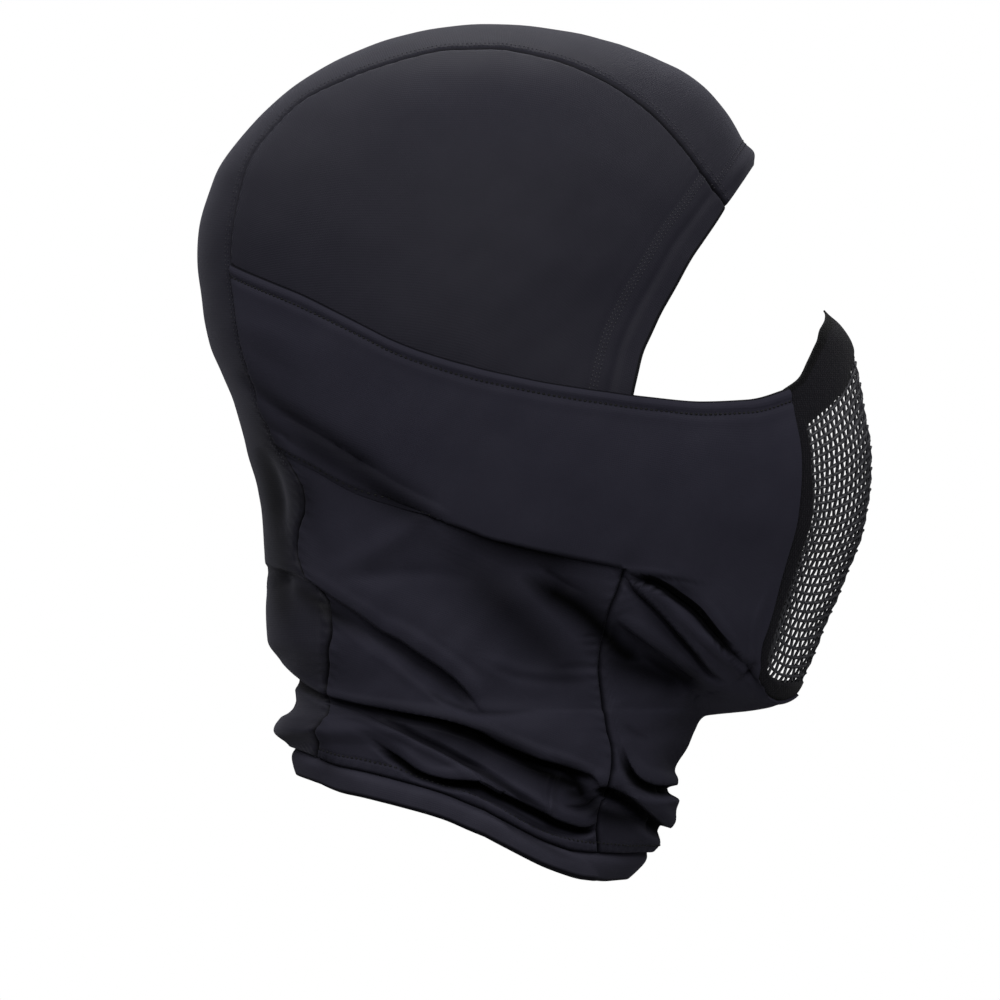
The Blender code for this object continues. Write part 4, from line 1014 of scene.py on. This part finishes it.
def makeFacePanel():
    band, fold, chinSteps = faceLook["bandColumns"], faceLook["foldColumns"], faceLook["chinColumns"]
    neckRows = faceLook["neckRows"]
    foldLine = placesOn("chinFold", evenShares(fold))
    foot = chainOf(placesOn("bandFoot", evenShares(band)), foldLine)
    s, t = lengthShares(foot), crowdedShares(faceLook["bandRows"])
    top = placesOn("bandTop", s)
    cheek = fillPatch(top, foot, placesOn("bandBack", t), placesOn("rimSide", t), s, t)
    rimChin = placesOn("rimChin", evenShares(chinSteps))
    upper = chainOf(foldLine, rimChin)
    t = evenShares(neckRows)
    s, t = lengthShares(upper), t * (0.62 + 0.38 * t)  # closer rows in the chin's folds
    hemFront = placesOn("hemFront", s)
    middle = middleLine(rimChin[-1, 1], hemFront[-1, 1], neckRows)
    chin = fillPatch(upper, hemFront, placesOn("frontSeam", t), middle, s, t)
    pieces, panels = [], []
    for sign in (1.0, -1.0):
        side = np.array([sign, 1.0])
        cheekPanel = layPanel(cheek * side, seams=("left",))
        down, up = cheekPanel["away"]["top"], cheekPanel["away"]["bottom"]
        column = np.arange(band + fold + 1)[None, :]
        sewn = 1.0 - smoothStep(column / band, faceLook["sewnFrom"], faceLook["sewnTo"])  # at the back only
        corner = np.linalg.norm(cheekPanel["points"] - cheekPanel["points"][-1, band], axis=-1)
        lift = faceLook["proud"] * (1.0 - 0.75 * bell(corner, 0.0, faceLook["corner"]))
        lift = lift * (1.0 - 0.85 * sewn * bell(up, 0.0, 0.0022))
        lift = lift + faceLook["puff"] * (bell(down, 0.0017, 0.0013) + 0.5 * bell(down, 0.0062, 0.0016))
        lift = lift - faceLook["groove"] * bell(down, faceLook["hem"], 0.0007)  # the two rows of stitches
        lift = lift - faceLook["groove"] * sewn * bell(up, faceLook["sewn"], 0.0009)
        raisePanel(cheekPanel, lift)
        chinPanel = layPanel(chin * side, seams=("left", "bottom"))
        across = s[None, :]
        foldEnd = s[fold]
        away = chinPanel["away"]
        edge = np.where(across > foldEnd, bell(away["top"], 0.0, 0.004), bell(t[:, None], 0.0, 0.10))
        raisePanel(chinPanel, faceLook["proud"] * edge * (1.0 - 0.95 * bell(away["left"], 0.0, 0.0050)))
        chinPanel["points"][0, :fold + 1] = cheekPanel["points"][-1, band:]
        points = rolledEdge(cheekPanel, "top", faceLook["hem"])
        dark = paintedEdgeShade(cheekPanel, points, "top")
        turned = (1.0 - smoothStep(up, 0.0, faceLook["turned"])) * (1.0 - sewn) * (column < band)
        dark[-len(up):] = np.maximum(dark[-len(up):], faceLook["turnedShade"] * turned)  # painted shade under the hanging edge
        pieces.append(addGridPiece("cheek", points, dark))
        pieces.append(addGridPiece("chin", chinPanel["points"], chinPanel["shade"]))
        panels += [cheekPanel, chinPanel]
    joined = joinPieces("face_cloth", pieces)
    finishCloth(joined, bandKnit, "band_fabric", "stretched", "face_panel")
    return panels + [t]


rightCheek, rightChin, leftCheek, leftChin, chinShares = makeFacePanel()

print("hood: neck panels")
neckLook = {"columns": 160, "crowd": 0.3, "sewn": 0.0046, "groove": 0.00030, "under": 0.0008, "tuck": 0.0052}


def makeNeckPanel(name, mirror, node, chinEdge):  # its front edge is laid on the chin's
    s, t = crowdedShares(neckLook["columns"], neckLook["crowd"]), crowdedShares(*seamSteps["nape"])
    top = tucked(placesOn("bandFoot", s), neckLook["tuck"])
    left = placesOn("nape", t)[:, :2]
    right = placesOn("frontSeam", t)
    left[0] = top[0]
    right[0] = top[-1]
    patch = fillPatch(top, placesOn("hemSide", s), left, right, s, t)
    panel = layPanel(otherSide(patch) if mirror else patch, seams=("left", "right", "bottom"))
    pressGroove(panel, "bottom", neckLook["sewn"], neckLook["groove"])
    under = neckLook["under"] * (1.0 - smoothStep(panel["away"]["top"], 0.0042, 0.0062))
    under = under * smoothStep(panel["away"]["left"], 0.0, 0.003)
    raisePanel(panel, -under * smoothStep(panel["away"]["right"], 0.002, 0.009))
    panel["points"][0, -1] = panel["points"][0, -1] + panel["out"][0, -1] * hood["seamDip"]
    where = np.concatenate([chinShares[:2], t[3:]])  # the seam starts at the corner of the band's foot
    edge = [np.interp(where, chinShares, chinEdge[:, k]) for k in range(3)]
    panel["points"][1:, -1] = np.stack(edge, axis=-1)
    piece = addGridPiece(name, panel["points"], panel["shade"])
    finishCloth(piece, neckKnit, "neck_fabric", "gathered", node)
    return panel


rightNeck = makeNeckPanel("neck_cloth_right", False, "neck_panel_right", rightChin["points"][:, 0])
leftNeck = makeNeckPanel("neck_cloth_left", True, "neck_panel_left", leftChin["points"][:, 0])

print("hood: collar hem")
hemLook = {"depth": 0.0078, "proud": 0.0003, "puff": 0.0004, "wall": 0.0022, "sideColumns": 190,
           "frontColumns": 70, "rows": 12, "turns": 7}


def makeNeckHem():
    half = stripLook["across"] // 2
    seam = placesOn("nape", np.array([1.0]))[0]
    lineDrop = seam[2] ** 2
    lineReach = reachAt(np.array(math.pi), np.array(lineDrop))
    spread = np.linspace(0.0, 1.0, half + 1) ** 2
    drop = lineDrop + (seam[1] - lineDrop) * spread
    reach = lineReach + (reachAt(seam[0], seam[1]) - lineReach) * spread
    angle = angleAt(reach, drop)
    angle[0] = math.pi
    back = np.stack([angle, drop], axis=-1)
    right = chainOf(back, placesOn("hemSide", evenShares(hemLook["sideColumns"])),
                    placesOn("hemFront", evenShares(hemLook["frontColumns"])))
    line = withOtherSide(right)
    rows = []
    for share in evenShares(hemLook["rows"]) ** 1.3:
        place = line.copy()
        place[:, 1] += share * hemLook["depth"] / hood["height"]
        out = outwardOf(plainPoint, place[:, 0], place[:, 1])
        proud = hemLook["proud"] * smoothStep(share, 0.05, 0.40) + hemLook["puff"] * math.sin(math.pi * share)
        proud = proud - seamSink(share * hemLook["depth"])
        rows.append(clothPoint(place[:, 0], place[:, 1]) + out * proud)
    foot = len(rows) - 1
    beyond = unitWays(rows[foot] - rows[foot - 2])
    rows += turnOver(rows[foot], beyond, out, hemLook["wall"] / 2, hemLook["turns"])
    inner = rows[-1]
    rows += [inner + (rows[0] - rows[foot]) * share for share in (0.25, 0.5, 0.75, 1.0)]
    dark = np.zeros((len(rows), len(line)))
    # painted shade on the hem's turned foot
    dark[foot:foot + hemLook["turns"] + 1] = hood["seamShade"]
    piece = addGridPiece("neck_hem_cloth", np.array(rows), dark)
    mergeDoubles(piece)
    finishCloth(piece, hemKnitPaintedLight, "neck_fabric", "gathered", "neck_hem")


makeNeckHem()

print("mask: binding tape")
tapeLook = {"steps": (70, 100, 56), "thickness": 0.0006, "above": 0.0010, "below": 0.0010,
            "outerRows": 13, "turns": 8, "innerRows": 7, "tipShare": 0.35, "tipLength": 0.009,
            "middle": (0.0, -0.09, -0.15)}


def rimAndTape(steps):
    parts = list(zip(("Nose", "Side", "Chin"), steps))
    return [chainOf(*[placesOn(line + part, evenShares(count)) for part, count in parts])
            for line in ("rim", "tape")]


def makeBinding():
    rim, tape = [withOtherSide(line) for line in rimAndTape(tapeLook["steps"])]
    run = runLength(plainPoint(rim[:, 0], rim[:, 1])[None], 1)[0]
    tip = smoothStep(np.minimum(run, run[-1] - run), 0.0, tapeLook["tipLength"])[:, None]
    thin = tapeLook["tipShare"] + (1 - tapeLook["tipShare"]) * tip  # it thins to the tip

    def rowAt(share, height):
        place = rim + (tape - rim) * share
        out = outwardOf(plainPoint, place[:, 0], place[:, 1])
        return clothPoint(place[:, 0], place[:, 1]) + out * height

    above, below = tapeLook["above"] * thin, tapeLook["below"] * thin
    rows = []
    for share in evenShares(tapeLook["outerRows"])[::-1] ** 1.5:
        height = tapeLook["above"] * (thin + (1 - thin) * smoothStep(share, 0.0, 0.4))
        rows.append(rowAt(share, height - tapeLook["thickness"] * smoothStep(share, 0.88, 1.0)))
    inward = unitWays(rows[0] - rows[-1])
    for k in range(1, tapeLook["turns"]):
        bend = math.pi * k / tapeLook["turns"]
        height = (above - below + (above + below) * math.cos(bend)) / 2
        rows.append(rowAt(0.0, height) - inward * below * math.sin(bend))
    rows += [rowAt(share, -below) for share in evenShares(tapeLook["innerRows"])]
    dark = np.zeros((len(rows), len(rim)))
    first = tapeLook["outerRows"] - 2
    dark[first:first + tapeLook["turns"] + 2] = hood["seamShade"]  # painted shade on the edge that is folded over the rim
    piece = addGridPiece("binding_tape", np.array(rows), dark)
    mergeDoubles(piece)
    faceOutward(piece, tapeLook["middle"])
    giveWall(piece, tapeLook["thickness"])
    dress(piece, bindingTape, "binding_tape", "mask_binding")


makeBinding()

print("mask: wire mesh")
wireLook = {"pitchAcross": 0.0030, "pitchDown": 0.0026, "radius": 0.00040, "level": 1.30, "wave": 0.00028,
            "raised": 0.0006, "tuck": 0.75, "crowd": 0.26, "steps": (40, 60, 40)}


def resample(line, shares):
    run = lengthShares(line)
    return np.stack([np.interp(np.asarray(shares), run, line[:, k]) for k in range(2)], axis=-1)


def lineLength(line):
    return runLength(plainPoint(line[:, 0], line[:, 1])[None], 1)[0][-1]


def makeWireMesh():
    rim, tape = rimAndTape(wireLook["steps"])
    edge = rim + (tape - rim) * wireLook["tuck"]
    noseEnd, sideEnd = wireLook["steps"][0], sum(wireLook["steps"][:2])
    nose, side, chin = edge[:noseEnd + 1], edge[noseEnd:sideEnd + 1], edge[sideEnd:]
    top = withOtherSide(nose[::-1])
    bottom = withOtherSide(chin)
    across = int((lineLength(top) + lineLength(bottom)) / 2 / wireLook["pitchAcross"])
    down = int(lineLength(side) * 1.06 / wireLook["pitchDown"])
    s, t = crowdedShares(2 * across, wireLook["crowd"]), evenShares(2 * down)  # closer at the sides
    left = resample(side, t)
    patch = fillPatch(resample(top, s), resample(bottom, s), left, otherSide(left), s, t)
    points = clothPoint(patch[..., 0], patch[..., 1])
    out = outwardOf(plainPoint, patch[..., 0], patch[..., 1])
    rows, columns = points.shape[:2]
    sign = np.where((np.arange(columns)[None, :] // 2 + np.arange(rows)[:, None] // 2) % 2 == 0, 1.0, -1.0)
    crossing = (np.arange(columns)[None, :] % 2 == 0) & (np.arange(rows)[:, None] % 2 == 0)
    over = np.where(crossing, sign * wireLook["wave"], 0.0)
    middle = wireLook["raised"] - wireLook["wave"] - wireLook["radius"]
    bpy.ops.object.select_all(action="DESELECT")
    bpy.ops.object.add(type="CURVE")
    piece = bpy.context.active_object
    curve = piece.data
    curve.dimensions = "3D"
    curve.bevel_depth = wireLook["radius"]
    curve.bevel_resolution = 1
    curve.use_fill_caps = True
    paths = [points[:, k] + out[:, k] * (middle + over[:, k, None]) for k in range(0, columns, 2)]
    paths += [points[k] + out[k] * (middle - over[k, :, None]) for k in range(0, rows, 2)]
    for k, path in enumerate(paths):
        spline = curve.splines.new("POLY")
        spline.points.add(len(path) - 1)
        spline.points.foreach_set("co", np.concatenate([path, np.ones((len(path), 1))], axis=1).ravel())
        spline.points.foreach_set("radius", np.full(len(path), 1.0 if k <= across else wireLook["level"]))
        spline.use_smooth = True
    selectOnly(piece)
    bpy.ops.object.convert(target="MESH")
    piece = nameIt(bpy.context.active_object, "wire_mesh")
    print("wire mesh:", across, "by", down, "wires,", len(piece.data.polygons), "faces")
    dress(piece, blackWirePaintedLight, "black_wire", "mask_mesh")


makeWireMesh()

print("sewing")
# painted shade: dark specks in the needle holes of the band's top hem
needleHoleShade = (0.0018, 0.00110, 0.00085)  # pitch, length and width
footStitch = (0.0025, 0.00120, 0.00070)
hemStitch = (0.0020, 0.00110, 0.00080)
paleSpeck = (0.0015, 0.00075, 0.00042)
for sideName, side, cheek, chin, neck in (("right", rightSide, rightCheek, rightChin, rightNeck),
                                          ("left", leftSide, leftCheek, leftChin, leftNeck)):
    sewRows("face_hem_stitches_" + sideName, [
        lineAt(side, "right", sideLook["hem"] - distance, 0.02, 0.75) + paleSpeck
        for distance in (0.0, 0.0012, 0.0024)
    ], paleThread, "hood_fabric")
    sewRows("band_stitches_and_hole_shade_" + sideName, [
        lineAt(cheek, "top", faceLook["hem"]) + needleHoleShade,
        lineAt(cheek, "bottom", faceLook["sewn"], 0.0, 0.27) + footStitch,
    ], threadAndHoleShade, "band_fabric")
    sewRows("neck_stitches_" + sideName, [
        lineAt(panel, "bottom", neckLook["sewn"]) + hemStitch for panel in (neck, chin)
    ], threadAndHoleShade, "neck_fabric")
sewRows("strip_stitches", [
    lineAt(stripPanel, edge, distance, 0.0, 0.55) + paleSpeck
    for edge in ("right", "left") for distance in (0.0018, 0.0034)
] + [
    lineAt(stripPanel, "top", distance, 0.02, 0.98) + paleSpeck for distance in (0.0074, 0.0088)
], paleThread, "hood_fabric")

print("studio")
studio = {"distance": 16.0, "wide": 0.34, "middle": (0.0, -0.00419, -0.16054), "floor": -1.50,
          "floorRadius": 1.6, "ambient": 0.16, "white": (1.0, 1.0, 1.0, 1.0)}
studioLights = {  # place, size and power
    "over_back": ((-0.30, 1.30, 1.20), 1.0, 9.2),
    "over_front": ((-0.30, -1.30, 1.20), 1.0, 9.0),
    "over_far": ((0.90, 0.00, 1.40), 1.0, 7.8),
    "near": ((-1.65, 0.00, 0.60), 1.0, 11.4),
}


def makeStudio():
    bpy.ops.mesh.primitive_circle_add(vertices=96, radius=studio["floorRadius"], fill_type="NGON",
                                      location=(0.0, 0.0, studio["floor"]))
    floor = bpy.context.active_object
    floor.name = "pale_floor"
    floor.data.materials.append(grainMaterial("floor paper", (236, 236, 236), 0.85, grain=60.0, relief=0.05))
    for name, (place, size, power) in studioLights.items():
        data = bpy.data.lights.new(name, "AREA")
        data.size = size
        data.energy = power
        light = bpy.data.objects.new(name, data)
        light.location = place
        light.rotation_euler = (Vector(studio["middle"]) - Vector(place)).to_track_quat("-Z", "Y").to_euler()
        bpy.context.scene.collection.objects.link(light)
    world = bpy.data.worlds.new("white studio")
    world.use_nodes = True
    tree = world.node_tree
    fill = setInputs(tree.nodes["Background"], Color=studio["white"])
    coords = addNode(tree, "ShaderNodeTexCoord")
    parts = addNode(tree, "ShaderNodeSeparateXYZ")
    climb = addNode(tree, "ShaderNodeMapRange")
    setInputs(climb, From_Min=-0.6, From_Max=0.7, To_Max=studio["ambient"])
    tree.links.new(coords.outputs["Generated"], parts.inputs["Vector"])
    tree.links.new(parts.outputs["Z"], climb.inputs["Value"])
    tree.links.new(climb.outputs["Result"], fill.inputs["Strength"])  # little light comes from below
    white = setInputs(addNode(tree, "ShaderNodeBackground"), Color=studio["white"], Strength=1.0)
    path = addNode(tree, "ShaderNodeLightPath")
    mix = addNode(tree, "ShaderNodeMixShader")
    tree.links.new(path.outputs["Is Camera Ray"], mix.inputs["Fac"])
    tree.links.new(fill.outputs["Background"], mix.inputs[1])
    tree.links.new(white.outputs["Background"], mix.inputs[2])
    tree.links.new(mix.outputs["Shader"], tree.nodes["World Output"].inputs["Surface"])
    bpy.context.scene.world = world
    lens = bpy.data.cameras.new("camera")
    lens.sensor_width = 36.0
    lens.lens = 36.0 * studio["distance"] / studio["wide"]
    camera = bpy.data.objects.new("camera", lens)
    camera.location = (studio["middle"][0] - studio["distance"], studio["middle"][1], studio["middle"][2])
    camera.rotation_euler = (math.radians(90), 0.0, math.radians(-90))
    bpy.context.scene.collection.objects.link(camera)
    bpy.context.scene.camera = camera
    bpy.context.scene.view_settings.view_transform = "Standard"


makeStudio()
